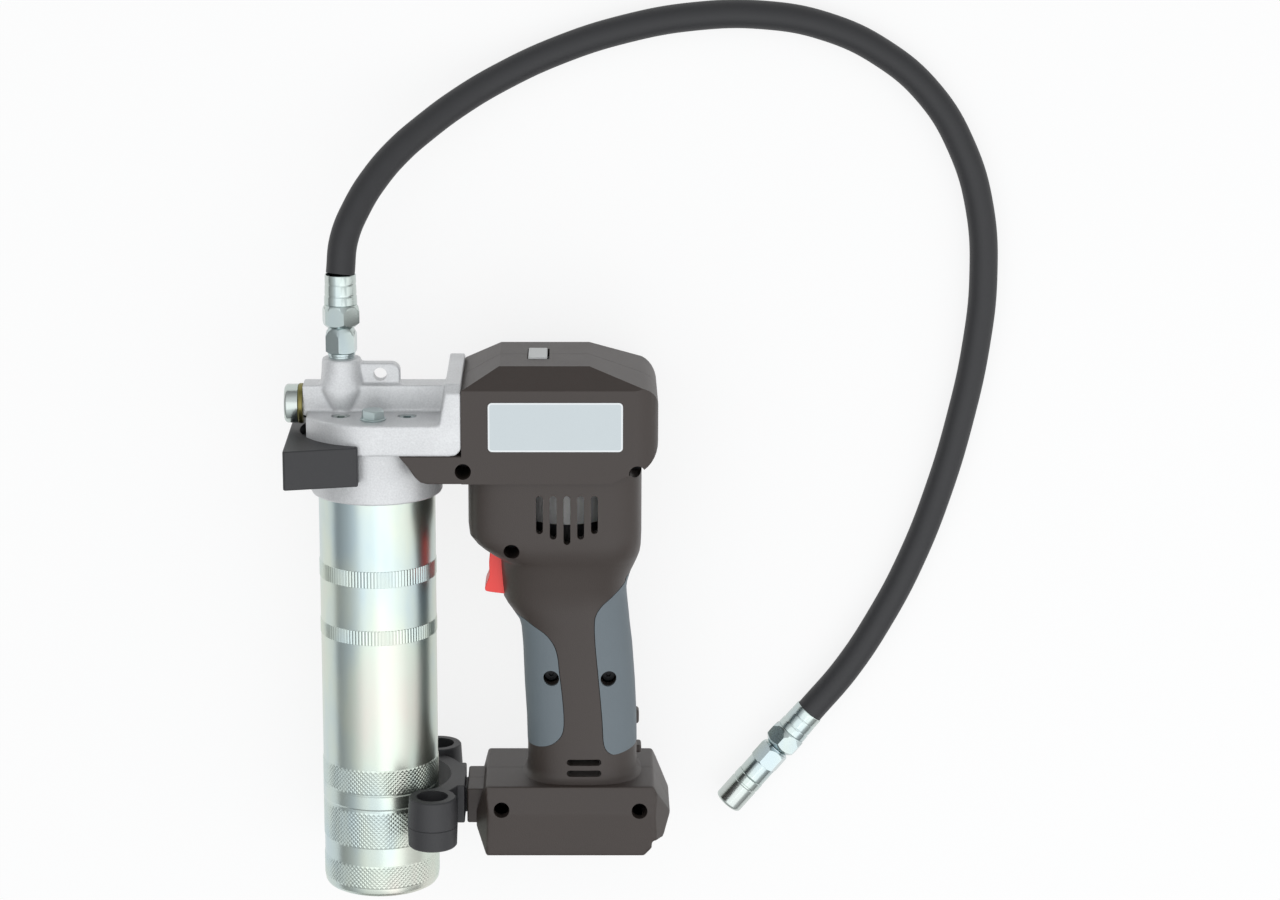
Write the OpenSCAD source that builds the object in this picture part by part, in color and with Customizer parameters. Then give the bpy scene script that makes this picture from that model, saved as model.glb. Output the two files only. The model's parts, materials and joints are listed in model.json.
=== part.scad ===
// Cordless grease applicator, lying on its side. X runs from the grease barrel to the handle,
// Y runs up the barrel to the outlet, and Z runs up from the surface that it lies on.
// Modules draw the tool about the barrel's axis and the tool's middle plane, and lay() puts it down.

/* [Barrel] */
// Outside radius of the grease barrel
barrel_r = 28.5; // [27:0.5:30]
// Wall of the grease barrel
barrel_wall = 1.2; // [0.8:0.1:2]
// Length of the barrel below the collar's rim
barrel_reach = 202; // [190:1:215]
// Length of the barrel inside the collar
barrel_thread_l = 18; // [10:1:20]
// Height of a knurled band above the barrel's wall
knurl_rise = 0.4; // [0.2:0.1:0.6]

/* [Collar and pump head] */
// Wall of the collar around the barrel
collar_wall = 3.2; // [2.5:0.1:4]
// Height of the collar
collar_h = 26; // [24:1:30]
// Thickness of the head's base plate
plate_t = 15; // [12:0.5:18]
// Radius of the base plate's round end
plate_r = 37; // [35:0.5:40]
// Half the depth of the pump block
block_half = 8.6; // [8:0.1:10]
// Height of the pump block above the base plate
block_h = 13; // [11:0.5:16]
// Thickness of the rear flange
flange_t = 9; // [7:0.5:12]
// Radius of the outlet boss at its top
outlet_r = 10.2; // [9:0.1:11]
// Height of the outlet boss above the pump block
outlet_h = 12.4; // [10:0.2:16]
// Radius of the hole in the hanging lug
lug_hole_r = 3.25; // [2.5:0.25:4]
// Radius of the pump plunger
plunger_r = 4; // [3:0.25:4.5]
// Throw of the crank pin
crank_throw = 4; // [3:0.5:5]

/* [Housing] */
// Half the thickness of the gear housing
box_half = 37; // [36:0.5:39]
// Height of the gear housing
box_h = 55.7; // [52:0.1:60]
// Length of the gear housing behind the flange
box_l = 92.8; // [90:0.1:96]
// Half the thickness of the handle
grip_half = 23.5; // [22.5:0.5:26]
// Half the thickness of the foot at its widest
foot_half = 32; // [30:0.5:34]
// Depth of the soft grip pads
pad_t = 1.5; // [1:0.1:2]
// Travel of the trigger
trigger_travel = 6; // [3:0.5:6]
// Travel of the mode key
key_travel = 1.5; // [0.5:0.25:1.5]

/* [Nozzle holder] */
// Radius of each parking bore
park_r = 7.75; // [7:0.25:8.5]
// Distance of each parking bore from the middle plane
park_z = 40; // [39:0.5:42]
// Height of the parking cups
park_h = 25; // [20:1:28]

/* [Hose] */
// Radius of the hose
hose_r = 7; // [5.5:0.25:7]

/* [Hidden] */
$fn = 64;
// Clearances between pieces that move and those that don't
run_gap = 0.05;
free_gap = 0.4;

// Levels up the barrel
rim_y = barrel_reach;
plate_y = rim_y + collar_h;
deck_y = plate_y + plate_t;
block_y = deck_y + block_h;
bore_y = deck_y + 2.5;
outlet_y = block_y + outlet_h;
box_y = plate_y - 13.7;
box_top = box_y + box_h;

// Barrel and collar
barrel_in = barrel_r - barrel_wall;
collar_in = barrel_r + free_gap;
collar_r = collar_in + collar_wall;
bolt_r = 22.6;
screw_r = 2.5;
screw_head_r = 4.25;
neck_r = 12;

// Pump head along X
flange_x = 44;
block_left = -35;
outlet_x = -16.2;
inlet_r = 5;
plug_r = 7;
plug_head_r = 9.5;
plug_head_t = 6.8;
plug_in = 12;
washer_t = 2.2;
bush_l = 14;
bush_r = 7;
vent_z = plate_r - 13;
lug_x = 2.5;
lug_right = 11.8;
lug_rise = 11;
lug_half = 3.5;
valve_r = 5;
seat_r = 3;
ball_r = 4;
seat_y = block_y - 2;
ball_y = seat_y + sqrt(ball_r * ball_r - seat_r * seat_r) + run_gap;
thread_r = 6.2;
thread_in = 4.4;

// Drive behind the flange
shelf_t = 4;
shelf_y = plate_y + 1;
shelf_half = 26;
motor_x = 93;
gear_module = 1;
pinion_teeth = 12;
gear_teeth = 36;
gear_w = 6;
crank_x = motor_x - gear_module * (pinion_teeth + gear_teeth) / 2;
gear_y = shelf_y + shelf_t + 0.3;
shaft_r = 3;
crank_shaft_r = 4;
crank_bush_r = 6;
pin_r = 3;
yoke_h = 10;
yoke_rim = 3.6;
yoke_half_x = 2 * crank_throw + pin_r + free_gap;
yoke_half_z = crank_throw + pin_r + free_gap;
yoke_left = crank_x - yoke_half_x - yoke_rim;
motor_r = 21;
can_l = 22;
cap_l = 18;
case_l = shelf_y - box_y + 2.3;
case_r = 20;

// Housing
wall = 3;
box_right = flange_x + box_l;
grip_left = 70;
grip_right = 127.5;
grip_corner_r = 20;
neck_top = box_y - 49.3;
neck_bottom = box_y - 73.3;
foot_top = 58.8;
foot_bottom = 23;
foot_left = 48;
foot_right = 144;
arm_half = 17.5;
arm_y = [35.7, 53.5];
arm_x = 43.4;
screw_seat = 12;
post_r = 4.6;
post_hole_r = 1.5;
post_head_r = 3.5;
screw_spots = [
    [43.3, box_y + 6.2], [126.6, box_y + 5], [66.3, box_y - 34.5],
    [85.2, box_y - 102], [113.2, box_y - 102.3], [60.7, foot_top - 11.4], [128.5, foot_top - 11.9]
];
key_x = [74.3, 83.5];
key_half = 11;
key_rise = 0.7;
label_w = 64.1;
label_h = 24;
label_t = 0.4;
key_lip = 1.4;
roof_t = 3.6;
bay_half = 22;
bay_top = 31;

// Trigger and switch
trigger_half = 9;
trigger_y = [box_y - 63.9, box_y - 43.5];
trigger_back = 66.3;
lip_t = 2;
lip_w = 3.5;
stem_y = trigger_y[0] + 9.6;
stem_r = 3;
stem_end = trigger_back + lip_t + 9;
switch_x = [stem_end + trigger_travel + free_gap, 110];
switch_y = [trigger_y[0] - 24.4, trigger_y[0] + 13.6];
switch_half = 15;

// Nozzle holder
holder_in = 35;
holder_right = arm_x - 1.2;
holder_y = 35.6;
park_x = 27.2;
park_wall = 4.6;
park_top = holder_y + 22.2;

// Hose and its fittings
adapter_h = 15.4;
adapter_y = outlet_y + adapter_h;
nut_h = 10.8;
ferrule_h = 14.8;
hose_y = adapter_y + nut_h + ferrule_h;
hose_end = [216, 74, -42];
coupler_turn = 130;
hose_route = [
    [outlet_x, hose_y, 0], [-14.3, 326, -3], [-8, 341, -8], [0.5, 354, -14], [11.5, 366, -20.5],
    [24.5, 376.5, -27], [40.5, 387.5, -34], [61, 399, -40], [89, 411.5, -44], [121, 421.7, -45],
    [154.5, 428, -45], [188.5, 428.8, -45], [218.5, 423, -45], [246.5, 410, -45], [270, 390, -45],
    [286.5, 363.5, -45], [296, 333.5, -45], [298.8, 298.5, -45], [296, 263.5, -45], [289.5, 228.5, -45],
    [279.5, 190.5, -45], [266, 153, -45], [251.5, 123.7, -44], [234.5, 96.5, -43], hose_end
];

// Where the tool lies
mid_z = park_z + park_r + park_wall;
left_x = block_left - washer_t - plug_head_t;
centre_x = (left_x + foot_right) / 2;
centre_y = adapter_y / 2;

// Helpers

module lay() {
    translate([-centre_x, -centre_y, mid_z]) children();
}

// Turns a profile of [radius, y] about the Y axis
module turned() {
    rotate([-90, 0, 0]) rotate_extrude() children();
}

// A round bar along Y from y0 to y1
module bar_y(r, y0, y1, sides = $fn) {
    translate([0, y0, 0]) rotate([-90, 0, 0]) cylinder(r = r, h = y1 - y0, $fn = sides);
}

// A round bar along X from x0 to x1
module bar_x(r, x0, x1) {
    translate([x0, 0, 0]) rotate([0, 90, 0]) cylinder(r = r, h = x1 - x0);
}

// A box between two corners
module box(a, b) {
    translate(a) cube(b - a);
}

// A flat outline in X and Z, pushed up from y0 to y1
module plan(points, y0, y1) {
    translate([0, y1, 0]) rotate([90, 0, 0]) linear_extrude(y1 - y0) polygon(points);
}

// A flat outline in X and Y, as thick as half on each side of the middle plane
module side(points, half) {
    linear_extrude(2 * half, center = true) polygon(points);
}

// A flat outline in Z and Y, pushed from x0 to x1
module front(points, x0, x1) {
    translate([x0, 0, 0]) rotate([0, 90, 0]) linear_extrude(x1 - x0) polygon([for (p = points) [-p.x, p.y]]);
}

// Points along an arc from one angle to another
function arc(c, r, a0, a1, n = 6) = [for (i = [0:n])
    let (a = a0 + (a1 - a0) * i / n) c + r * [cos(a), sin(a)]];

// A rectangle about the X axis, with rounded corners
function round_box(x0, x1, half, r) = concat(
    arc([x1 - r, half - r], r, 0, 90), arc([x0 + r, half - r], r, 90, 180),
    arc([x0 + r, r - half], r, 180, 270), arc([x1 - r, r - half], r, 270, 360)
);

// A tube along a route, with a ring of points at each stop
function unit(v) = v / norm(v);
function heading(p, i) = unit(p[min(i + 1, len(p) - 1)] - p[max(i - 1, 0)]);
function ring(c, along, r, n) =
    let (across = unit(cross(along, [0.001, 0.002, 1])), up = cross(across, along))
    [for (k = [0:n - 1]) c + r * (cos(360 * k / n) * across + sin(360 * k / n) * up)];
module tube(route, r, n, first, last) {
    stops = len(route);
    rings = [for (i = [0:stops - 1])
        ring(route[i], i == 0 ? first : i == stops - 1 ? last : heading(route, i), r, n)];
    skin = [for (i = [0:stops - 2], k = [0:n - 1])
        [i * n + k, i * n + (k + 1) % n, (i + 1) * n + (k + 1) % n, (i + 1) * n + k]];
    caps = [[for (k = [0:n - 1]) n - 1 - k], [for (k = [0:n - 1]) (stops - 1) * n + k]];
    polyhedron([for (r = rings, p = r) p], concat(skin, caps));
}

// A smooth curve through the route's points, with steps stops in each stretch
function curve(p, steps) = concat([for (i = [0:len(p) - 2], s = [0:steps - 1])
    let (
        t = s / steps,
        a = p[max(i - 1, 0)],
        b = p[i],
        c = p[i + 1],
        d = p[min(i + 2, len(p) - 1)]
    )
    b + t / 2 * (c - a + t * (2 * a - 5 * b + 4 * c - d + t * (3 * b - 3 * c + d - a)))], [p[len(p) - 1]]);

// A coil spring along Z with flat-lying turns
function coil(r, h, turns, n = 10) = [for (i = [0:turns * n])
    [r * cos(360 * i / n), r * sin(360 * i / n), h * i / (turns * n)]];
module spring(r, wire, h, turns) {
    tube([for (p = coil(r, h - 2 * wire, turns)) p + [0, 0, wire]], wire, 6, [0, 1, 0], [0, 1, 0]);
}

// A spur gear about Y, with straight-sided teeth and some backlash
module gear(teeth, y0, y1, turn) {
    pitch_r = gear_module * teeth / 2;
    root_r = pitch_r - 1.2 * gear_module;
    tip_r = pitch_r + 0.8 * gear_module;
    step = 360 / teeth;
    plan([for (k = [0:teeth - 1], s = [[root_r, -0.33], [tip_r, -0.1], [tip_r, 0.1], [root_r, 0.33]])
        let (a = turn + step * (k + s.y)) s.x * [cos(a), sin(a)]], y0, y1);
}

// Pump head

module head_holes() {
    for (sx = [-1, 1], sz = [-1, 1]) translate([sx * bolt_r * cos(45), 0, sz * bolt_r * sin(45)]) {
        bar_y(screw_r, plate_y - 1, deck_y + 1);
        bar_y(screw_head_r + free_gap, deck_y - 5.5, deck_y + 1);
    }
    translate([0, 0, vent_z]) bar_y(screw_r, plate_y + 3, deck_y + 1);
    translate([0, bore_y, 0]) {
        bar_x(plunger_r + run_gap, block_left + plug_in - 1, flange_x + 1);
        bar_x(plug_r, block_left - 1, block_left + plug_in);
        bar_x(bush_r, flange_x - bush_l, flange_x + 1);
    }
    bar_y(inlet_r, plate_y - 1, bore_y);
    bar_y(neck_r, plate_y - 1, plate_y + 6);
    translate([outlet_x, 0, 0]) {
        bar_y(seat_r, bore_y, seat_y + 1);
        bar_y(valve_r, seat_y, outlet_y - thread_in + 1);
        bar_y(thread_r, outlet_y - thread_in, outlet_y + 1);
    }
    translate([lug_x, block_y + 4.6, 0]) cylinder(r = lug_hole_r, h = 4 * lug_half, center = true);
    translate([motor_x, 0, 0]) bar_y(shaft_r + 2, shelf_y - 1, shelf_y + shelf_t + 1);
    translate([crank_x, 0, 0]) bar_y(crank_bush_r, shelf_y - 1, shelf_y + shelf_t + 1);
}

module pump_head() {
    flange_top = box_top - 7;
    color("gainsboro") lay() difference() {
        union() {
            intersection() {
                bar_y(plate_r, plate_y, deck_y);
                box([block_left, plate_y, -plate_r], [plate_r, deck_y, plate_r]);
            }
            side(concat([[0, plate_y], [0, deck_y], [flange_x, deck_y]],
                arc([flange_x - 5, plate_y + 5], 5, 0, -90)), plate_r);
            front([[-box_half, plate_y + 4], [-box_half, flange_top - 4], [4 - box_half, flange_top],
                [box_half - 4, flange_top], [box_half, flange_top - 4], [box_half, plate_y + 4]],
                flange_x - flange_t, flange_x);
            box([block_left, plate_y + 4, -block_half], [flange_x, block_y, block_half]);
            translate([outlet_x, 0, 0]) turned() polygon([[0, deck_y], [outlet_r - 2, deck_y],
                [outlet_r + 0.4, deck_y + 9], [outlet_r, outlet_y - 1], [outlet_r - 1, outlet_y],
                [0, outlet_y]]);
            side(concat([[outlet_x + 6, block_y - 1], [lug_right, block_y - 1]],
                arc([lug_right - 4.5, block_y + lug_rise - 4.5], 4.5, 0, 90),
                [[outlet_x + 6, block_y + lug_rise]]), lug_half);
            box([flange_x - flange_t, shelf_y, -shelf_half],
                [motor_x + motor_r, shelf_y + shelf_t, shelf_half]);
        }
        head_holes();
    }
}

module barrel_collar() {
    color("gainsboro") lay() difference() {
        bar_y(collar_r, rim_y, plate_y);
        bar_y(collar_in, rim_y - 1, rim_y + barrel_thread_l + free_gap);
        bar_y(neck_r + 1, rim_y, plate_y + 1);
        for (sx = [-1, 1], sz = [-1, 1]) translate([sx * bolt_r * cos(45), 0, sz * bolt_r * sin(45)])
            bar_y(screw_r, plate_y - 7, plate_y + 1);
    }
}

module collar_screws() {
    color("silver") lay() for (sx = [-1, 1], sz = [-1, 1])
        translate([sx * bolt_r * cos(45), 0, sz * bolt_r * sin(45)]) difference() {
            union() {
                bar_y(screw_r, plate_y - 6, deck_y - 5);
                bar_y(screw_head_r, deck_y - 5.5, deck_y - 0.5);
            }
            bar_y(2.3, deck_y - 3, deck_y, 6);
        }
}

module vent_screw() {
    color("silver") lay() translate([0, 0, vent_z]) {
        bar_y(screw_r, plate_y + 3, deck_y + 1);
        bar_y(5.9, deck_y, deck_y + 1);
        bar_y(5.7, deck_y + 1, deck_y + 4.2, 6);
    }
}

module pump_plug() {
    head_x = block_left - washer_t;
    color("silver") lay() translate([0, bore_y, 0]) difference() {
        union() {
            rotate([0, -90, 0]) translate([0, 0, -head_x]) rotate_extrude() polygon([[0, 0], [plug_head_r, 0],
                [plug_head_r, plug_head_t - 0.8], [plug_head_r - 0.8, plug_head_t], [0, plug_head_t]]);
            bar_x(plug_r, head_x - 1, block_left + plug_in - 1);
        }
        translate([left_x - 1, 0, 0]) rotate([0, 90, 0]) cylinder(r = 4.6, h = 6, $fn = 6);
    }
}

module plug_washer() {
    color("darkkhaki") lay() translate([0, bore_y, 0]) difference() {
        bar_x(plug_head_r + 0.3, block_left - washer_t, block_left);
        bar_x(plug_r, block_left - washer_t - 1, block_left + 1);
    }
}

module bumper() {
    top = plate_y + 4.8;
    right = -8;
    right_half = plate_r + 2.4;
    left = -42;
    left_half = plate_r + 9.8;
    edge = 1;
    color("dimgray") lay() difference() {
        plan([[right, right_half], [left + edge, left_half], [left, left_half - edge],
            [left, edge - left_half], [left + edge, -left_half], [right, -right_half]], top - 19.2, top);
        bar_y(collar_r, 0, plate_y);
        bar_y(plate_r, plate_y - 0.01, top + 1);
    }
}

// Outlet and valve

module outlet_adapter() {
    color("silver") lay() translate([outlet_x, 0, 0]) difference() {
        union() {
            bar_y(thread_r, outlet_y - thread_in, outlet_y);
            bar_y(thread_r, outlet_y, outlet_y + 2);
            rotate([0, 30, 0]) bar_y(8.6, outlet_y + 1.2, adapter_y, 6);
        }
        bar_y(2, outlet_y - thread_in - 1, adapter_y + 1);
        bar_y(4.5, adapter_y - 8, adapter_y + 1);
    }
}

module check_ball() {
    color("silver") lay() translate([outlet_x, ball_y, 0]) sphere(r = ball_r);
}

module check_spring() {
    foot = ball_y - run_gap + 3.5;
    color("silver") lay() translate([outlet_x, foot, 0]) rotate([-90, 0, 0])
        spring(2.5, 0.35, outlet_y - thread_in - foot, 3);
}

// Barrel and cartridge

module barrel() {
    bands = [[5, 16], [26, 44], [54, 66], [131, 138], [160, 168]];
    top = rim_y + barrel_thread_l;
    color("lightsteelblue") lay() difference() {
        union() {
            turned() polygon(concat([[0, 0]], arc([barrel_r - 3, 3], 3, -90, 0),
                [[barrel_r, top], [0, top]]));
            for (b = bands) turned() polygon([[barrel_in + 0.5, b[0]], [barrel_r, b[0]],
                [barrel_r + knurl_rise, b[0] + 0.4], [barrel_r + knurl_rise, b[1] - 0.4], [barrel_r, b[1]],
                [barrel_in + 0.5, b[1]]]);
        }
        bar_y(barrel_in, barrel_wall + 1.8, top + 1);
    }
}

module grease_cartridge() {
    body_r = barrel_in - 0.8;
    shoulder = rim_y + barrel_thread_l - 8;
    color("ivory") lay() turned() polygon([[0, 3.4], [body_r, 3.4], [body_r, shoulder],
        [neck_r, shoulder + 5], [neck_r, plate_y + 6], [0, plate_y + 6]]);
}

// Housing

// The gear housing from the side, above from the front, and from above
module gear_box() {
    slope = 10;
    intersection() {
        side(concat([[flange_x, box_y], [flange_x, box_top - slope], [flange_x + 17.7, box_top],
            [flange_x + 59.8, box_top]], arc([box_right - 11, box_top - 19.4], 11, 75, 0),
            arc([box_right - 14, box_y + 8], 14, 0, -60)), box_half);
        front([[-box_half, box_y - 9], [-box_half, box_top - slope], [slope - box_half, box_top],
            [box_half - slope, box_top], [box_half, box_top - slope], [box_half, box_y - 9]],
            flange_x, box_right);
        plan(concat([[flange_x, -box_half]], arc([box_right - 12, 12 - box_half], 12, -90, 0),
            arc([box_right - 12, box_half - 12], 12, 0, 90), [[flange_x, box_half]]), box_y - 9, box_top);
    }
}

// Points that hang from the gear housing's underside, or stand on the foot
function below_box(points) = [for (p = points) [p.x, box_y - p.y]];
function above_foot(points) = [for (p = points) [p.x, foot_top + p.y]];

// The motor housing and handle from the side
motor_left = 45;
motor_right = 129.2;
grip_outline = concat(
    below_box([[motor_left, -1], [motor_left, 28.3], [51, 35.8], [56, 39.8], [62, 42.8], [60.5, 46.3],
        [61.5, 64.3], [63, 66.8], [66, 70.8], [69.3, 75.8], [grip_left + 0.5, 80.3], [71.3, 90.3]]),
    above_foot([[72, 46.2], [73, 29.2], [73.5, 5.2], [73.5, -1], [grip_right, -1],
        [grip_right - 0.3, 30.2], [126.5, 43.2]]),
    below_box([[125.5, 95.3], [124, 82.3], [122.7, 69.3], [122, 60.3], [122.6, 56.3], [124, 51.3],
        [127, 44.3], [129, 37.8], [motor_right, 24.3], [motor_right, -1]])
);

module grip() {
    motor_half = box_half - 2;
    intersection() {
        side(grip_outline, box_half);
        front(concat(
            below_box([[-motor_half, -1], [-motor_half, 32.3], [-grip_half - 1, 64.3], [-grip_half, 94.3]]),
            above_foot([[-grip_half - 1, -1], [grip_half + 1, -1]]),
            below_box([[grip_half, 94.3], [grip_half + 1, 64.3], [motor_half, 32.3], [motor_half, -1]])),
            motor_left, motor_right);
        union() {
            plan(round_box(motor_left, motor_right, motor_half, 14), neck_top, box_y + 1);
            plan(round_box(59, motor_right, grip_half + 4, grip_corner_r), neck_bottom - 1, neck_top + 1);
            plan(round_box(grip_left, grip_right, grip_half + 1, grip_corner_r), foot_top - 1, neck_bottom);
        }
    }
}

module foot() {
    edge = foot_half - 2;
    nose = 31;
    intersection() {
        side([[foot_left + 5, foot_top], [foot_left, 42], [foot_left, 34], [foot_left + 5, foot_bottom],
            [131, foot_bottom], [134.7, foot_bottom + 4], [134.7, nose], [140.4, nose], [foot_right, 42],
            [135.5, foot_top]], foot_half);
        front([[-edge, foot_top], [-foot_half, 46], [-edge, foot_bottom], [edge, foot_bottom],
            [foot_half, 46], [edge, foot_top]], foot_left, foot_right);
        plan([[foot_left, -18], [foot_left + 6, -foot_half], [136, -foot_half], [foot_right, -18],
            [foot_right, 18], [136, foot_half], [foot_left + 6, foot_half], [foot_left, 18]],
            foot_bottom, foot_top);
    }
    plan(round_box(grip_left - 1, grip_right + 2.5, grip_half + 4, 22), foot_top - 1, foot_top + 2.5);
    box([arm_x, arm_y[0], -arm_half], [foot_left + 6, arm_y[1], arm_half]);
}

// The lip under the pump head, around the collar
module saddle() {
    difference() {
        side(concat([[12.5, plate_y], [flange_x + 2, plate_y], [flange_x + 2, box_y]],
            [[24, box_y], [21, box_y + 1.5]]), box_half);
        bar_y(collar_r, box_y - 1, plate_y + 1);
    }
}

module rooms() {
    box([flange_x + wall, box_y + wall, -33], [box_right - 7, box_top - 13, 33]);
    box([flange_x - 1, shelf_y - free_gap, -shelf_half - 4], [flange_x + 5, box_top - 13, shelf_half + 4]);
    box([62, box_top - 14, -24], [103, box_top - roof_t, 24]);
    box([56, box_y - 36.3, -31], [122, box_y + wall + 1, 31]);
    box([66, trigger_y[0] - free_gap, -20.4], [119, box_y - 35.3, 20.4]);
    box([79, foot_top - 4, -switch_half], [119, trigger_y[0] + 1.6, switch_half]);
    box([56, bay_top + 2, -26], [130, foot_top - wall, 26]);
    box([66, foot_bottom - 1, -bay_half], [136, bay_top, bay_half]);
    box([55, trigger_y[0] - free_gap, -trigger_half - free_gap],
        [67, trigger_y[1] + free_gap, trigger_half + free_gap]);
    box([key_x[0] - free_gap, box_top - 9, -key_half - free_gap],
        [key_x[1] + 2 * free_gap, box_top + 1, key_half + free_gap]);
    box([arm_x - 1, 38, -8], [48, 51, 8]);
}

module vents() {
    slot_w = 3.3;
    vent_top = box_y - 6.3;
    deep = box_half - 17;
    for (i = [-2:2]) let (drop = 24.3 - 2.7 * abs(i)) translate([motor_x + 6.6 * i, vent_top - drop, 17])
        for (up = [0, drop - slot_w]) {
            translate([0, up + slot_w / 2, 0]) cylinder(r = slot_w / 2, h = deep);
            translate([-slot_w / 2, slot_w / 2, 0]) cube([slot_w, drop - slot_w, deep]);
        }
    for (rise = [5.4, 11]) translate([93, foot_top + rise, 14]) cube([16.5, 2.6, 20]);
}

// Screw posts between the two halves
module posts() {
    for (s = screw_spots) translate([s.x, s.y, 0]) cylinder(r = post_r, h = 2 * box_half, center = true);
}

// The soft pads' outlines, front and back
front_pad = concat(
    below_box([[60, 67.3], [70.6, 72.3], [76.4, 75.8], [82.7, 79.8], [86.6, 84.8], [88.5, 90.8],
        [89.4, 99.3]]),
    above_foot([[90.8, 44.2], [91.6, 32.2], [90.7, 25.2], [87.3, 20.7], [82.8, 18.2], [76, 16.8], [68, 16.8]])
);
back_pad = concat(
    below_box([[131, 48.3], [122.7, 51.3], [120.7, 55.3], [114.9, 60.8], [109.6, 65.3], [106.6, 70.3],
        [106.1, 76.3], [106.6, 86.3], [107.8, 99.3]]),
    above_foot([[108.9, 44.2], [109.9, 32.2], [110.8, 19.7], [113.8, 15], [118.7, 14.4], [131, 17.2]])
);

// What lies within pad_t of the handle's skin, inside an outline
module pad(outline) {
    difference() {
        intersection() {
            grip();
            side(outline, box_half);
        }
        intersection() {
            side([for (p = grip_outline) [p.x + (p.x < 97 ? pad_t : -pad_t), p.y]], box_half);
            plan(round_box(grip_left + pad_t, grip_right - pad_t, grip_half + 1 - pad_t,
                grip_corner_r - pad_t),
                foot_bottom, neck_bottom);
        }
        if (outline == back_pad) box([60, neck_bottom, -box_half], [119, neck_top + 5, box_half]);
    }
}

module half_space(near) {
    box([-50, -10, near ? 0 : -60], [160, 300, near ? 60 : 0]);
}

module housing_half(near) {
    color("#4b4441") lay() intersection() {
        half_space(near);
        difference() {
            union() {
                difference() {
                    union() {
                        gear_box();
                        grip();
                        foot();
                        saddle();
                    }
                    rooms();
                }
                intersection() {
                    posts();
                    union() {
                        gear_box();
                        grip();
                        foot();
                        saddle();
                    }
                }
                if (!near) strap_eye();
            }
            pad(front_pad);
            pad(back_pad);
            vents();
            mirror([0, 0, 1]) vents();
            for (s = screw_spots) translate([s.x, s.y, 0]) {
                translate([0, 0, -screw_seat]) cylinder(r = post_hole_r, h = 2 * screw_seat + 1);
                translate([0, 0, screw_seat]) cylinder(r = post_head_r, h = box_half);
            }
        }
    }
}

module strap_eye() {
    box([grip_right - 3, foot_top + 8.2, -14], [grip_right + 2.4, foot_top + 13.2, -4]);
}

module housing_near() {
    housing_half(true);
}

module housing_far() {
    housing_half(false);
}

module half_pad(outline, near) {
    color("#69767d") lay() intersection() {
        half_space(near);
        pad(outline);
    }
}

module front_grip_near() {
    half_pad(front_pad, true);
}

module back_grip_near() {
    half_pad(back_pad, true);
}

module front_grip_far() {
    half_pad(front_pad, false);
}

module back_grip_far() {
    half_pad(back_pad, false);
}

module housing_screws() {
    color("darkslategray") lay() for (s = screw_spots) translate([s.x, s.y, 0]) difference() {
        union() {
            translate([0, 0, -screw_seat]) cylinder(r = post_hole_r, h = 2 * screw_seat + 1);
            translate([0, 0, screw_seat]) cylinder(r = post_head_r - 0.3, h = 2.4);
        }
        translate([0, 0, screw_seat + 1]) cylinder(r = 1.4, h = 3, $fn = 6);
    }
}

module label_plate() {
    r = 2;
    color("#d2dce1") lay() translate([56.3, box_top - 39.6, box_half]) linear_extrude(label_t)
        polygon(concat(arc([label_w - r, label_h - r], r, 0, 90), arc([r, label_h - r], r, 90, 180),
            arc([r, r], r, 180, 270), arc([label_w - r, r], r, 270, 360)));
}

module mode_key() {
    color("#c3c6c4") lay() {
        box([key_x[0], box_top - roof_t - 1, -key_half], [key_x[1], box_top + key_rise, key_half]);
        box([key_x[0] - key_lip, box_top - roof_t - 2.3, -key_half - key_lip],
            [key_x[1] + key_lip, box_top - roof_t - 0.3, key_half + key_lip]);
    }
}

module key_switch() {
    top = box_top - roof_t - 2.3 - key_travel - 0.3;
    color("#222222") lay() {
        box([66, top - 6, -8], [92, top, 8]);
        for (x = [66, 87]) box([x, top - 6, -8], [x + 5, box_top - roof_t, 8]);
    }
}

// Trigger and switch

module trigger() {
    color("#f04b4b") lay() {
        side([[54.8, trigger_y[1]], [54.7, trigger_y[0] + 8.6], [52.7, trigger_y[0] + 2.6],
            [54.6, trigger_y[0] + 0.6], [61, trigger_y[0]], [trigger_back + lip_t, trigger_y[0]],
            [trigger_back + lip_t, trigger_y[1]]], trigger_half);
        box([trigger_back, trigger_y[0], -trigger_half - lip_w],
            [trigger_back + lip_t, trigger_y[1], trigger_half + lip_w]);
        translate([0, stem_y, 0]) bar_x(stem_r, trigger_back + 1, stem_end);
    }
}

module trigger_spring() {
    start = trigger_back + lip_t;
    color("silver") lay() translate([start, stem_y, 0]) rotate([0, 90, 0])
        spring(stem_r + 1, 0.5, switch_x[0] - start, 6);
}

module trigger_switch() {
    color("#222222") lay()
        box([switch_x[0], switch_y[0], -switch_half], [switch_x[1], switch_y[1], switch_half]);
}

// Motor and drive

module motor_can() {
    top = shelf_y - case_l;
    color("silver") lay() translate([motor_x, 0, 0]) bar_y(motor_r, top - can_l, top);
}

module motor_end_cap() {
    top = shelf_y - case_l - can_l;
    color("#222222") lay() translate([motor_x, 0, 0]) bar_y(motor_r - 1, top - cap_l, top);
}

module gearbox_case() {
    color("darkgray") lay() translate([motor_x, 0, 0]) difference() {
        bar_y(case_r, shelf_y - case_l, shelf_y);
        bar_y(shaft_r + run_gap, shelf_y - 8, shelf_y + 1);
    }
}

module drive_pinion() {
    color("lightslategray") lay() translate([motor_x, 0, 0]) {
        bar_y(shaft_r, shelf_y - 7.7, gear_y + gear_w);
        gear(pinion_teeth, gear_y + 0.4, gear_y + gear_w - 0.4, 0);
    }
}

module crank_bush() {
    color("peru") lay() translate([crank_x, 0, 0]) difference() {
        bar_y(crank_bush_r, shelf_y, shelf_y + shelf_t);
        bar_y(crank_shaft_r + run_gap, shelf_y - 1, shelf_y + shelf_t + 1);
    }
}

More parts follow.
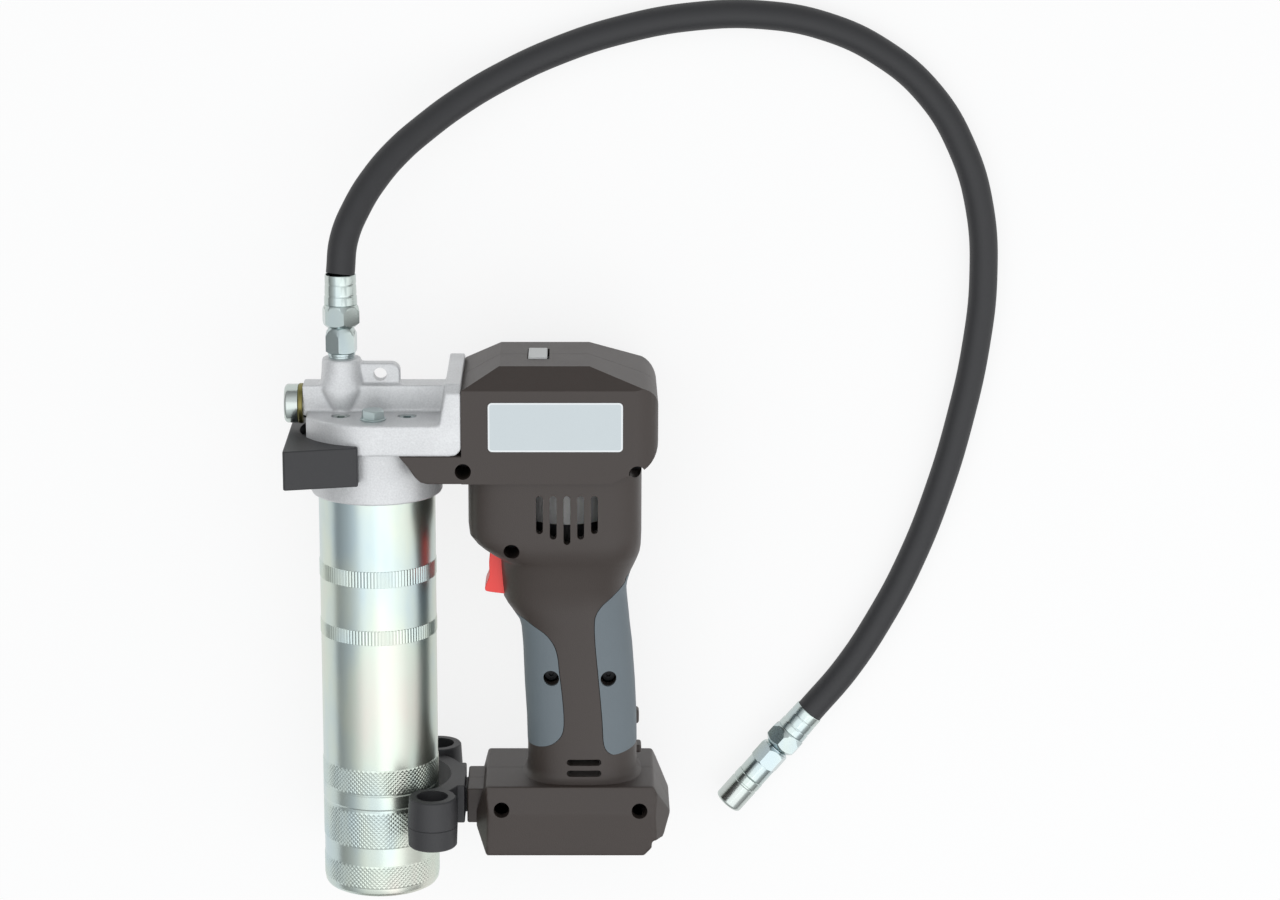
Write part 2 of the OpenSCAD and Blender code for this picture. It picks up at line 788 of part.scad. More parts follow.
module crank_gear() {
    color("lightslategray") lay() translate([crank_x, 0, 0]) difference() {
        union() {
            bar_y(crank_shaft_r, shelf_y, gear_y + 1);
            gear(gear_teeth, gear_y, gear_y + gear_w, 180 / gear_teeth);
        }
        translate([0, 0, crank_throw]) bar_y(pin_r, gear_y + 2, gear_y + gear_w + 1);
    }
}

module crank_pin() {
    color("silver") lay() translate([crank_x, 0, crank_throw]) bar_y(pin_r, gear_y + 2, bore_y + yoke_h / 2);
}

module plunger_yoke() {
    color("slategray") lay() translate([crank_x, bore_y, 0]) difference() {
        box([-yoke_half_x - yoke_rim, -yoke_h / 2, -yoke_half_z - yoke_rim],
            [yoke_half_x + yoke_rim, yoke_h / 2, yoke_half_z + yoke_rim]);
        box([-yoke_half_x, -yoke_h, -yoke_half_z], [yoke_half_x, yoke_h, yoke_half_z]);
    }
}

module plunger() {
    color("silver") lay() translate([0, bore_y, 0]) bar_x(plunger_r, 1, yoke_left);
}

module plunger_bush() {
    color("peru") lay() translate([0, bore_y, 0]) difference() {
        bar_x(bush_r, flange_x - bush_l, flange_x);
        bar_x(plunger_r + run_gap, 0, flange_x + 1);
    }
}

// Nozzle holder and battery dock

module nozzle_holder() {
    color("#3e3e40") lay() difference() {
        union() {
            intersection() {
                bar_y(holder_in + 7.5, holder_y, park_top);
                box([12, 0, -park_z], [holder_right, 100, park_z]);
            }
            box([holder_in - 6, holder_y, -arm_half], [holder_right, park_top, arm_half]);
            for (sz = [-1, 1]) translate([park_x, 0, sz * park_z])
                bar_y(park_r + park_wall, park_top - park_h, park_top);
            box([holder_right - 1, 38, -8], [48, 51, 8]);
        }
        bar_y(holder_in, 0, 100);
        for (sz = [-1, 1]) translate([park_x, 0, sz * park_z]) bar_y(park_r, 0, 100);
    }
}

module terminal_block() {
    color("#222222") lay() box([66, foot_bottom + 1.5, -15], [78, bay_top, 15]);
}

module contact_blades() {
    color("goldenrod") lay() for (z = [-9, 0, 9]) box([78, 25.5, z - 0.5], [88, 30, z + 0.5]);
}

// Hose, its fittings and the coupler

module hose_nut() {
    color("silver") lay() translate([outlet_x, 0, 0]) {
        bar_y(4.5, adapter_y - 8, adapter_y + 1);
        rotate([0, 18, 0]) bar_y(9.6, adapter_y, adapter_y + nut_h, 6);
    }
}

module hose_ferrule() {
    color("silver") lay() translate([outlet_x, 0, 0])
        bar_y(hose_r + 0.9, adapter_y + nut_h, hose_y);
}

module hose() {
    last = [cos(coupler_turn), -sin(coupler_turn), 0];
    color("#373538") lay() tube(curve(hose_route, 3), hose_r, 12, [0, 1, 0], last);
}

// Puts a piece on the hose's end, with Y along the coupler away from the hose
module on_end() {
    lay() translate(hose_end) rotate([0, 0, -90 - coupler_turn + 360]) children();
}

ferrule_l = 14;
end_nut_l = 11;
coupler_body_l = 20;
coupler_sleeve_l = 19;
mouth_r = 3.3;
coupler_bore_r = 5;

module end_ferrule() {
    color("silver") on_end() bar_y(hose_r + 0.9, 0, ferrule_l);
}

module end_nut() {
    color("silver") on_end() bar_y(9.6, ferrule_l, ferrule_l + end_nut_l, 6);
}

module coupler_body() {
    start = ferrule_l + end_nut_l;
    color("silver") on_end() {
        bar_y(5, start, start + 4);
        bar_y(8.2, start + 3, start + coupler_body_l - 5, 6);
        bar_y(6.6, start + coupler_body_l - 5, start + coupler_body_l);
    }
}

module coupler_sleeve() {
    start = ferrule_l + end_nut_l + coupler_body_l;
    color("silver") on_end() difference() {
        bar_y(7.4, start, start + coupler_sleeve_l);
        bar_y(coupler_bore_r, start - 1, start + coupler_sleeve_l + 1);
    }
}

module coupler_jaws() {
    start = ferrule_l + end_nut_l + coupler_body_l;
    color("gray") on_end() difference() {
        bar_y(coupler_bore_r, start, start + coupler_sleeve_l);
        bar_y(mouth_r, start + 4, start + coupler_sleeve_l + 1);
    }
}

pump_head();
barrel_collar();
collar_screws();
vent_screw();
pump_plug();
plug_washer();
bumper();
outlet_adapter();
check_ball();
check_spring();
barrel();
grease_cartridge();
housing_near();
housing_far();
front_grip_near();
back_grip_near();
front_grip_far();
back_grip_far();
housing_screws();
label_plate();
mode_key();
key_switch();
trigger();
trigger_spring();
trigger_switch();
motor_can();
motor_end_cap();
gearbox_case();
drive_pinion();
crank_bush();
crank_gear();
crank_pin();
plunger_yoke();
plunger();
plunger_bush();
nozzle_holder();
terminal_block();
contact_blades();
hose_nut();
hose_ferrule();
hose();
end_ferrule();
end_nut();
coupler_body();
coupler_sleeve();
coupler_jaws();
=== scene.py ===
import json
import math

import bmesh
import bpy
from mathutils import Matrix, Vector


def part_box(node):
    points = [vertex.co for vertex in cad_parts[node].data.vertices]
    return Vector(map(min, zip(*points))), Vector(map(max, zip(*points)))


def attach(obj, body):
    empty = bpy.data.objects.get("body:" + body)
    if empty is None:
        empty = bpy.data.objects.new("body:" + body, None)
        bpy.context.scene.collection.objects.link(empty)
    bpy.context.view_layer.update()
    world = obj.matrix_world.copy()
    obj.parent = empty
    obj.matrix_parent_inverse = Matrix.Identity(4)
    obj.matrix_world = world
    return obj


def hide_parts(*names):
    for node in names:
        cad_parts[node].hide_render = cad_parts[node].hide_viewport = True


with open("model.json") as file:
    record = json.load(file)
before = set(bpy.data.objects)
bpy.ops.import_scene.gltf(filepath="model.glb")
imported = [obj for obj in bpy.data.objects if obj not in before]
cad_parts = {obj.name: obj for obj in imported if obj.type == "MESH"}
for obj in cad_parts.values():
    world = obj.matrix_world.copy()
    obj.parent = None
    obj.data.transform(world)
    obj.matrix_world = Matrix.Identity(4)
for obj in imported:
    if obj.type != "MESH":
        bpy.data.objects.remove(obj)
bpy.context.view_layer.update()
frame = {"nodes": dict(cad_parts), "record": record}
scene = bpy.context.scene
scene.view_settings.view_transform = "Standard"

# Camera and studio
# The tool lies on its side on a white table, and the camera looks down on it from over the hose's loop,
# 14 degrees off the vertical. Three large softboxes and a pale ceiling over darker walls light it.
camera_data = bpy.data.cameras.new("camera")
camera_data.sensor_width = 36
camera_data.lens = 98.4
camera_data.shift_x = 0.0457
camera = bpy.data.objects.new("camera", camera_data)
camera.location = (0.05, 0.4986, 1.70635)
camera.rotation_euler = (math.radians(-14.2), 0, 0)
scene.collection.objects.link(camera)
scene.camera = camera

room = bpy.data.worlds.new("room")
room.use_nodes = True
room_tree = room.node_tree
room_where = room_tree.nodes.new("ShaderNodeTexCoord")
room_split = room_tree.nodes.new("ShaderNodeSeparateXYZ")
room_walls = room_tree.nodes.new("ShaderNodeValToRGB")
room_walls.color_ramp.interpolation = "EASE"
room_walls.color_ramp.elements[0].position = 0.0
room_walls.color_ramp.elements[0].color = (0.2, 0.202, 0.205, 1)
room_walls.color_ramp.elements[1].position = 0.85
room_walls.color_ramp.elements[1].color = (0.96, 0.98, 1.0, 1)
room_ceiling = room_walls.color_ramp.elements.new(0.4)
room_ceiling.color = (0.50, 0.51, 0.515, 1)
room_tree.links.new(room_where.outputs["Generated"], room_split.inputs["Vector"])
room_tree.links.new(room_split.outputs["Z"], room_walls.inputs["Fac"])
room_tree.links.new(room_walls.outputs["Color"], room_tree.nodes["Background"].inputs["Color"])
room_tree.nodes["Background"].inputs["Strength"].default_value = 0.98
scene.world = room


def softbox(name, place, aim, width, height, power):
    """A rectangular studio lamp at a place, turned towards a point."""
    lamp = bpy.data.lights.new(name, "AREA")
    lamp.shape = "RECTANGLE"
    lamp.size = width
    lamp.size_y = height
    lamp.energy = power
    stand = bpy.data.objects.new(name, lamp)
    stand.location = place
    stand.rotation_euler = (Vector(aim) - Vector(place)).to_track_quat("-Z", "Y").to_euler()
    scene.collection.objects.link(stand)


softbox("key_softbox", (-0.35, 0.0, 1.55), (0.0, 0.0, 0.05), 1.2, 1.2, 2.7)
softbox("fill_softbox", (0.6, -0.55, 1.4), (0.05, 0.0, 0.05), 1.0, 1.2, 2.8)
softbox("side_softbox", (1.3, -0.2, 0.55), (0.0, 0.0, 0.06), 0.8, 1.2, 2.5)

table = bmesh.new()
bmesh.ops.create_grid(table, x_segments=1, y_segments=1, size=3)
bmesh.ops.translate(table, verts=table.verts, vec=(0, 0, -0.0003))
table_mesh = bpy.data.meshes.new("table")
table.to_mesh(table_mesh)
table.free()
table_top = bpy.data.objects.new("table", table_mesh)
scene.collection.objects.link(table_top)

table_white = bpy.data.materials.new("table_white")
table_white.use_nodes = True
table_tree = table_white.node_tree
table_tree.nodes["Principled BSDF"].inputs["Base Color"].default_value = (0.93, 0.93, 0.93, 1)
table_tree.nodes["Principled BSDF"].inputs["Roughness"].default_value = 0.8
table_rays = table_tree.nodes.new("ShaderNodeLightPath")
table_mirrored = table_tree.nodes.new("ShaderNodeMath")
table_mirrored.operation = "MAXIMUM"
table_seen = table_tree.nodes.new("ShaderNodeMath")
table_seen.operation = "MAXIMUM"
table_share = table_tree.nodes.new("ShaderNodeMath")
table_share.operation = "MULTIPLY"
table_share.inputs[1].default_value = 0.82
table_glow = table_tree.nodes.new("ShaderNodeEmission")
table_glow.inputs["Color"].default_value = (1, 1, 1, 1)
table_mix = table_tree.nodes.new("ShaderNodeMixShader")
table_tree.links.new(table_rays.outputs["Is Glossy Ray"], table_mirrored.inputs[0])
table_tree.links.new(table_rays.outputs["Is Transmission Ray"], table_mirrored.inputs[1])
table_tree.links.new(table_rays.outputs["Is Camera Ray"], table_seen.inputs[0])
table_tree.links.new(table_mirrored.outputs[0], table_seen.inputs[1])
table_tree.links.new(table_seen.outputs[0], table_share.inputs[0])
table_tree.links.new(table_share.outputs[0], table_mix.inputs[0])
table_tree.links.new(table_tree.nodes["Principled BSDF"].outputs[0], table_mix.inputs[1])
table_tree.links.new(table_glow.outputs[0], table_mix.inputs[2])
table_tree.links.new(table_mix.outputs[0], table_tree.nodes["Material Output"].inputs["Surface"])
table_mesh.materials.append(table_white)

# Grease barrel
# A drawn steel tube with a rolled bottom, plated with bright zinc. Knurled bands are rolled into it for
# the hand, and it screws up into the collar of the pump head.
barrel_low, barrel_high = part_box("barrel")
# From millimetres about the barrel's axis and bottom to where the tool lies
LAY = Matrix.Translation((
    (barrel_low.x + barrel_high.x) / 2, barrel_low.y,
    (barrel_low.z + barrel_high.z) / 2)) @ Matrix.Scale(0.001, 4)


def srgb(red, green, blue):
    """A colour as it is seen on a screen, from 0 to 255, as the light that a shader takes."""
    return [((c / 255 + 0.055) / 1.055) ** 2.4 if c > 10 else c / 255 / 12.92
            for c in (red, green, blue)] + [1]


def add_piece(name, bm, material, slot, *stands_for, body="tool", crease=35):
    """Lays a mesh drawn in the tool's millimetres in the frame and hangs it on a body."""
    bm.transform(LAY)
    mesh = bpy.data.meshes.new(name)
    bm.to_mesh(mesh)
    bm.free()
    mesh.shade_smooth()
    mesh.set_sharp_from_angle(angle=math.radians(crease))
    mesh.materials.append(material)
    piece = bpy.data.objects.new(name, mesh)
    scene.collection.objects.link(piece)
    even = piece.modifiers.new("even_shading", "WEIGHTED_NORMAL")
    even.keep_sharp = True
    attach(piece, body)
    if stands_for:
        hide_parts(*stands_for)
    return piece


def turned(profile, steps=96):
    """A profile of (radius, height) swept about the Y axis."""
    bm = bmesh.new()
    chain = [bm.verts.new((r, y, 0)) for r, y in profile]
    edges = [bm.edges.new(pair) for pair in zip(chain, chain[1:])]
    bmesh.ops.spin(
        bm, geom=chain + edges, cent=(0, 0, 0), axis=(0, 1, 0), angle=2 * math.pi, steps=steps, use_merge=True)
    bmesh.ops.remove_doubles(bm, verts=bm.verts, dist=0.0001)
    bmesh.ops.recalc_face_normals(bm, faces=bm.faces)
    return bm


def new_group(name, inputs, outputs):
    """An empty node group for materials to share, with its sockets and its two end nodes."""
    group = bpy.data.node_groups.new(name, "ShaderNodeTree")
    for way, sockets in (("INPUT", inputs), ("OUTPUT", outputs)):
        for socket in sockets:
            kind = "NodeSocketColor" if socket == "Colour" else "NodeSocketFloat"
            group.interface.new_socket(socket, in_out=way, socket_type=kind)
    return group, group.nodes.new("NodeGroupInput"), group.nodes.new("NodeGroupOutput")


# Zinc plating shows faint bands of blue, straw and rose where its film is thicker.
plating, plating_in, plating_out = new_group(
    "zinc_plating", ("Colour", "Tint", "Roughness"), ("Colour", "Roughness", "Height"))
plating_where = plating.nodes.new("ShaderNodeTexCoord")
plating_stretch = plating.nodes.new("ShaderNodeMapping")
plating_stretch.inputs["Scale"].default_value = (1, 0.35, 1)
plating_film = plating.nodes.new("ShaderNodeTexNoise")
plating_film.inputs["Scale"].default_value = 38
plating_film.inputs["Detail"].default_value = 3
plating_bands = plating.nodes.new("ShaderNodeValToRGB")
plating_bands.color_ramp.elements[0].position = 0.3
plating_bands.color_ramp.elements[0].color = srgb(186, 214, 226)
plating_bands.color_ramp.elements[1].position = 0.72
plating_bands.color_ramp.elements[1].color = srgb(238, 226, 214)
straw = plating_bands.color_ramp.elements.new(0.52)
straw.color = srgb(222, 234, 218)
plating_mix = plating.nodes.new("ShaderNodeMix")
plating_mix.data_type = "RGBA"
plating_mix.blend_type = "MULTIPLY"
plating_fine = plating.nodes.new("ShaderNodeTexNoise")
plating_fine.inputs["Scale"].default_value = 900
plating_fine.inputs["Detail"].default_value = 2
plating_cloud = plating.nodes.new("ShaderNodeMath")
plating_cloud.operation = "MULTIPLY_ADD"
plating_cloud.inputs[1].default_value = 0.12
plating_lift = plating.nodes.new("ShaderNodeMath")
plating_lift.operation = "SUBTRACT"
plating_lift.inputs[1].default_value = 0.06
plating.links.new(plating_where.outputs["Object"], plating_stretch.inputs["Vector"])
plating.links.new(plating_stretch.outputs["Vector"], plating_film.inputs["Vector"])
plating.links.new(plating_where.outputs["Object"], plating_fine.inputs["Vector"])
plating.links.new(plating_film.outputs["Fac"], plating_bands.inputs["Fac"])
plating.links.new(plating_in.outputs["Tint"], plating_mix.inputs["Factor"])
plating.links.new(plating_in.outputs["Colour"], plating_mix.inputs["A"])
plating.links.new(plating_bands.outputs["Color"], plating_mix.inputs["B"])
plating.links.new(plating_film.outputs["Fac"], plating_cloud.inputs[0])
plating.links.new(plating_in.outputs["Roughness"], plating_lift.inputs[0])
plating.links.new(plating_lift.outputs[0], plating_cloud.inputs[2])
plating.links.new(plating_mix.outputs["Result"], plating_out.inputs["Colour"])
plating.links.new(plating_cloud.outputs[0], plating_out.inputs["Roughness"])
plating.links.new(plating_fine.outputs["Fac"], plating_out.inputs["Height"])


def finish_from(group, name, bump, metallic, **values):
    """A material whose colour, roughness and fine relief come from a shared group, with its own values."""
    material = bpy.data.materials.new(name)
    material.use_nodes = True
    tree = material.node_tree
    shader = tree.nodes["Principled BSDF"]
    shader.inputs["Metallic"].default_value = metallic
    finish = tree.nodes.new("ShaderNodeGroup")
    finish.node_tree = group
    for socket, value in values.items():
        finish.inputs[socket].default_value = value
    relief = tree.nodes.new("ShaderNodeBump")
    relief.inputs["Strength"].default_value = bump
    relief.inputs["Distance"].default_value = 0.0002
    tree.links.new(finish.outputs["Colour"], shader.inputs["Base Color"])
    tree.links.new(finish.outputs["Roughness"], shader.inputs["Roughness"])
    tree.links.new(finish.outputs["Height"], relief.inputs["Height"])
    tree.links.new(relief.outputs["Normal"], shader.inputs["Normal"])
    return material


barrel_zinc = finish_from(
    plating, "barrel_zinc", 0.03, 1.0, Colour=srgb(228, 231, 228), Tint=0.65, Roughness=0.31)

barrel_r = 28.5
barrel_bore = barrel_r - 1.2
knurl_rise = 0.24
diamonds = 80
ticks = 112


def barrel_ring(height, radius, points, raised=None):
    """One ring of points round the barrel, with every other one raised where the band is knurled."""
    ring = bmesh.ops.create_circle(bm, segments=points, radius=radius)["verts"]
    bmesh.ops.rotate(bm, verts=ring, matrix=Matrix.Rotation(math.radians(-90), 3, "X"), cent=(0, 0, 0))
    bmesh.ops.translate(bm, verts=ring, vec=(0, height, 0))
    if raised is not None:
        grow = 1 + knurl_rise / radius
        bmesh.ops.scale(bm, verts=ring[raised % 2::2], vec=(grow, 1, grow))
    return ring


def skin_rings(rings):
    """Faces between each ring and the next."""
    for lower, upper in zip(rings, rings[1:]):
        both = set(lower) | set(upper)
        loops = [e for e in bm.edges if e.verts[0] in both and e.verts[1] in both and len(e.link_faces) < 2]
        bmesh.ops.bridge_loops(bm, edges=loops)


bm = bmesh.new()
around = 2 * diamonds
rings = [barrel_ring(height, radius, around) for height, radius in (
    (0, 24.5), (0.3, 26.4), (1.0, 27.6), (2.2, 28.3), (3.4, barrel_r))]
knurled = set()
for start, end in ((5, 16), (26, 44), (54, 66)):
    rings.append(barrel_ring(start - 0.4, barrel_r, around))
    count = round((end - start) / 1.12)
    for row in range(count + 1):
        rings.append(barrel_ring(start + (end - start) * row / count, barrel_r, around, row))
        knurled |= set(rings[-1])
    rings.append(barrel_ring(end + 0.4, barrel_r, around))
    if start == 26:
        for height, rise in ((45.6, 0), (46.4, 0.3), (52.6, 0.3), (53.2, 0)):
            rings.append(barrel_ring(height, barrel_r + rise, around))
rings += [barrel_ring(220, barrel_r, around), barrel_ring(220, barrel_bore, around),
          barrel_ring(3, barrel_bore, around)]
skin_rings(rings)
bmesh.ops.contextual_create(bm, geom=[e for e in bm.edges if e.is_boundary and e.verts[0] in rings[0]])
bmesh.ops.contextual_create(bm, geom=[e for e in bm.edges if e.is_boundary and e.verts[0] in rings[-1]])
bmesh.ops.triangulate(
    bm, faces=[f for f in bm.faces if all(v in knurled for v in f.verts)], quad_method="LONG_EDGE")
bmesh.ops.recalc_face_normals(bm, faces=bm.faces)
add_piece("barrel_tube", bm, barrel_zinc, "barrel_steel", "barrel", body="barrel", crease=12)
bm = bmesh.new()
for start, end in ((131, 138), (160, 168)):
    skin_rings([
        barrel_ring(start - 0.2, barrel_r - 0.1, 2 * ticks), barrel_ring(start, barrel_r + 0.02, 2 * ticks, 0),
        barrel_ring(end, barrel_r + 0.02, 2 * ticks, 0), barrel_ring(end + 0.2, barrel_r - 0.1, 2 * ticks)])
bmesh.ops.recalc_face_normals(bm, faces=bm.faces)
add_piece("barrel_ticks", bm, barrel_zinc, "barrel_steel", body="barrel", crease=3)

# Collar and pump head
# One aluminium casting carries the pump block, the outlet boss with its hanging lug, and the flange that the
# motor housing is screwed to. A cast collar under it takes the barrel. Both are shot-blasted to a pale satin.
skin, skin_in, skin_out = new_group(
    "blasted_skin", ("Colour", "Grain", "Mottle", "Roughness"), ("Colour", "Roughness", "Height"))
skin_where = skin.nodes.new("ShaderNodeTexCoord")
skin_grain = skin.nodes.new("ShaderNodeTexNoise")
skin_grain.inputs["Detail"].default_value = 3
skin_grain.inputs["Roughness"].default_value = 0.6
skin_cloud = skin.nodes.new("ShaderNodeTexNoise")
skin_cloud.inputs["Scale"].default_value = 45
skin_cloud.inputs["Detail"].default_value = 4
skin_both = skin.nodes.new("ShaderNodeMath")
skin_both.operation = "ADD"
skin_centre = skin.nodes.new("ShaderNodeMath")
skin_centre.operation = "SUBTRACT"
skin_centre.inputs[1].default_value = 1.0
skin_spread = skin.nodes.new("ShaderNodeMath")
skin_spread.operation = "MULTIPLY_ADD"
skin_spread.inputs[2].default_value = 1.0
skin_tone = skin.nodes.new("ShaderNodeVectorMath")
skin_tone.operation = "SCALE"
skin_dull = skin.nodes.new("ShaderNodeMath")
skin_dull.operation = "MULTIPLY"
skin.links.new(skin_where.outputs["Object"], skin_grain.inputs["Vector"])
skin.links.new(skin_where.outputs["Object"], skin_cloud.inputs["Vector"])
skin.links.new(skin_in.outputs["Grain"], skin_grain.inputs["Scale"])
skin.links.new(skin_grain.outputs["Fac"], skin_both.inputs[0])
skin.links.new(skin_cloud.outputs["Fac"], skin_both.inputs[1])
skin.links.new(skin_both.outputs[0], skin_centre.inputs[0])
skin.links.new(skin_centre.outputs[0], skin_spread.inputs[0])
skin.links.new(skin_in.outputs["Mottle"], skin_spread.inputs[1])
skin.links.new(skin_in.outputs["Colour"], skin_tone.inputs[0])
skin.links.new(skin_spread.outputs[0], skin_tone.inputs["Scale"])
skin.links.new(skin_in.outputs["Roughness"], skin_dull.inputs[0])
skin.links.new(skin_spread.outputs[0], skin_dull.inputs[1])
skin.links.new(skin_tone.outputs["Vector"], skin_out.inputs["Colour"])
skin.links.new(skin_dull.outputs[0], skin_out.inputs["Roughness"])
skin.links.new(skin_grain.outputs["Fac"], skin_out.inputs["Height"])

cast_aluminium = finish_from(
    skin, "cast_aluminium", 0.55, 0.4, Colour=srgb(214, 215, 216), Grain=1100, Mottle=0.40, Roughness=0.43)

rim_y = 202
plate_y = 228
deck_y = 243
plate_r = 37
flange_x = 42.6
flange_top = 263
block_half = 7.3
block_top = 256
outlet_x = -16.2


def slab(outline, axis, low, high):
    """A flat outline pushed along an axis: x and y for z, x and z for y, z and y for x."""
    bm = bmesh.new()
    place = {"x": lambda a, b: (low, b, a), "y": lambda a, b: (a, low, b), "z": lambda a, b: (a, b, low)}[axis]
    face = bm.faces.new([bm.verts.new(place(a, b)) for a, b in outline])
    push = bmesh.ops.extrude_face_region(bm, geom=[face])["geom"]
    step = {"x": (high - low, 0, 0), "y": (0, high - low, 0), "z": (0, 0, high - low)}[axis]
    bmesh.ops.translate(bm, verts=[v for v in push if isinstance(v, bmesh.types.BMVert)], vec=step)
    bmesh.ops.recalc_face_normals(bm, faces=bm.faces)
    return bm


def block(low, high):
    """A plain box between two corners."""
    return slab(
        [(low[0], low[1]), (high[0], low[1]), (high[0], high[1]), (low[0], high[1])], "z", low[2], high[2])


def arc(centre, radius, start, end, steps=8):
    """Points along an arc, in degrees."""
    turns = [math.radians(start + (end - start) * i / steps) for i in range(steps + 1)]
    return [(centre[0] + radius * math.cos(t), centre[1] + radius * math.sin(t)) for t in turns]


def rod(radius, axis, low, high, at=(0, 0), steps=48):
    """A round rod along an axis, for drilling and turning."""
    return slab(arc(at, radius, 0, 360 - 360 / steps, steps - 1), axis, low, high)


def round_off(bm, radius, segments=3, angle=25, where=None):
    """Rounds the edges that are sharper than an angle, or only those that a test picks."""
    edges = [e for e in bm.edges if e.is_manifold and e.calc_face_angle(0) > math.radians(angle)
             and (where is None or where(e))]
    bmesh.ops.bevel(
        bm, geom=edges, offset=radius, offset_type="OFFSET", affect="EDGES", segments=segments, profile=0.5,
        clamp_overlap=True, material=-1)
    return bm


def shift(bm, x=0, z=0):
    """Moves a whole mesh along X and Z."""
    bmesh.ops.translate(bm, verts=bm.verts, vec=(x, 0, z))


def together(*parts):
    """Several meshes as one."""
    whole = bmesh.new()
    for part in parts:
        mesh = bpy.data.meshes.new("part")
        part.to_mesh(mesh)
        part.free()
        whole.from_mesh(mesh)
        bpy.data.meshes.remove(mesh)
    return whole


def worked(bm, *steps):
    """The mesh after a list of modifiers, each a type and its settings."""
    mesh = bpy.data.meshes.new("blank")
    bm.to_mesh(mesh)
    bm.free()
    blank = bpy.data.objects.new("blank", mesh)
    scene.collection.objects.link(blank)
    for kind, settings in steps:
        modifier = blank.modifiers.new(kind, kind)
        for setting, value in settings.items():
            setattr(modifier, setting, value)
    result = bmesh.new()
    result.from_object(blank, bpy.context.evaluated_depsgraph_get())
    bpy.data.objects.remove(blank)
    bpy.data.meshes.remove(mesh)
    return result


def carved(bm, tool, operation="DIFFERENCE"):
    """The mesh with another cut out of it, or what the two share."""
    mesh = bpy.data.meshes.new("tool")
    tool.to_mesh(mesh)
    tool.free()
    cutter = bpy.data.objects.new("tool", mesh)
    scene.collection.objects.link(cutter)
    result = worked(bm, ("BOOLEAN", {"object": cutter, "operation": operation, "solver": "EXACT"}))
    bpy.data.objects.remove(cutter)
    bpy.data.meshes.remove(mesh)
    return result


collar = turned([
    (0, 220.4), (28.9, 220.4), (28.9, rim_y + 0.6), (29.5, rim_y), (30.7, rim_y), (31.6, rim_y + 0.4),
    (32.1, rim_y + 1.4), (32.1, plate_y - 0.7), (31.4, plate_y), (0, plate_y)], 128)
add_piece("collar_casting", collar, cast_aluminium, "cast_aluminium", "barrel_collar")

plate_left = -32.8
plate_cut = math.sqrt(plate_r ** 2 - plate_left ** 2)
plate_arc = [p for p in arc((0, 0), plate_r, 90, 270, 40) if p[0] > plate_left]
plate_edge = (
    [p for p in plate_arc if p[1] > plate_cut] + [(plate_left, plate_cut), (plate_left, -plate_cut)]
    + [p for p in plate_arc if p[1] < -plate_cut])
base_plate = slab(plate_edge + [(flange_x, -plate_r), (flange_x, plate_r)], "y", plate_y, deck_y)
round_off(base_plate, 5, 6, where=lambda e: all(v.co.x > 42 and v.co.y < plate_y + 1 for v in e.verts))
flange = slab(
    [(-plate_r, plate_y + 4), (plate_r, plate_y + 4), (plate_r, flange_top - 4.6), (33, flange_top),
     (-33, flange_top), (-plate_r, flange_top - 4.6)], "x", 30.2, flange_x)
bmesh.ops.translate(flange, verts=[v for v in flange.verts if v.co.x < 40 and v.co.y > 250], vec=(4.9, 0, 0))
pump_block = slab(
    [(-block_half, deck_y - 2), (block_half, deck_y - 2), (block_half, block_top), (-block_half, block_top)],
    "x", -35, flange_x)
web = slab(
    [(flange_x - 9.5, block_top), (flange_x - 4, block_top), (flange_x - 4, 240), (flange_x - 13, 240)],
    "z", -block_half, block_half)
boss = turned([(0, deck_y - 3), (7.2, deck_y - 3), (8.3, deck_y), (9.3, deck_y + 3.5), (10.1, deck_y + 7.5),
               (10.3, deck_y + 11), (10.2, 257), (9.5, 267.7), (9.0, 268.4), (0, 268.4)], 64)
shift(boss, outlet_x)
# The boss runs down the front and the back of the block: height, half width, reach, and where its sides start
keel = bmesh.new()
keel_rings = []
for height, half, reach, root in (
        (267.4, 9.4, 9.4, 0), (262, 9.8, 9.8, 0.5), (258.5, 10.1, 10.1, 2), (256, 10.1, 10.3, 4.5),
        (253.5, 9.4, 10.5, 6.2), (250.5, 8.0, 10.4, 6.4), (247, 6.0, 10, 6.4), (244.5, 4.6, 9.4, 6.4),
        (241, 3.4, 8.6, 6.4)):
    turns = [math.pi * i / 12 for i in range(13)]
    lens = [(half * math.cos(t), height, root + (reach - root) * math.sin(t) ** 0.9) for t in turns]
    lens += [(-x, y, -z) for x, y, z in lens]
    keel_rings.append([keel.verts.new((x + outlet_x, y, z)) for x, y, z in lens])
for upper, lower in zip(keel_rings, keel_rings[1:]):
    for i in range(len(upper)):
        j = (i + 1) % len(upper)
        keel.faces.new((upper[i], upper[j], lower[j], lower[i]))
keel.faces.new(keel_rings[0])
keel.faces.new(keel_rings[-1])
bmesh.ops.recalc_face_normals(keel, faces=keel.faces)
lug = slab([(-12, 255), (12.2, 255)] + arc((7.9, 261.8), 4.3, 0, 90) + [(-12, 266.1)], "z", -3.5, 3.5)
casting = worked(
    together(base_plate, flange, pump_block, web, boss, keel, lug),
    ("REMESH", {"mode": "VOXEL", "voxel_size": 0.6}),
    ("SMOOTH", {"factor": 0.5, "iterations": 5}))
bolt_spots = [(sx * 15.98, sz * 15.98) for sx in (-1, 1) for sz in (-1, 1)]
for spot in bolt_spots:
    casting = carved(casting, rod(4.65, "y", deck_y - 5.5, deck_y + 2, spot))
casting = carved(casting, rod(3.25, "z", -6, 6, (2.5, 260.6)))
add_piece("head_casting", casting, cast_aluminium, "cast_aluminium", "pump_head", crease=45)

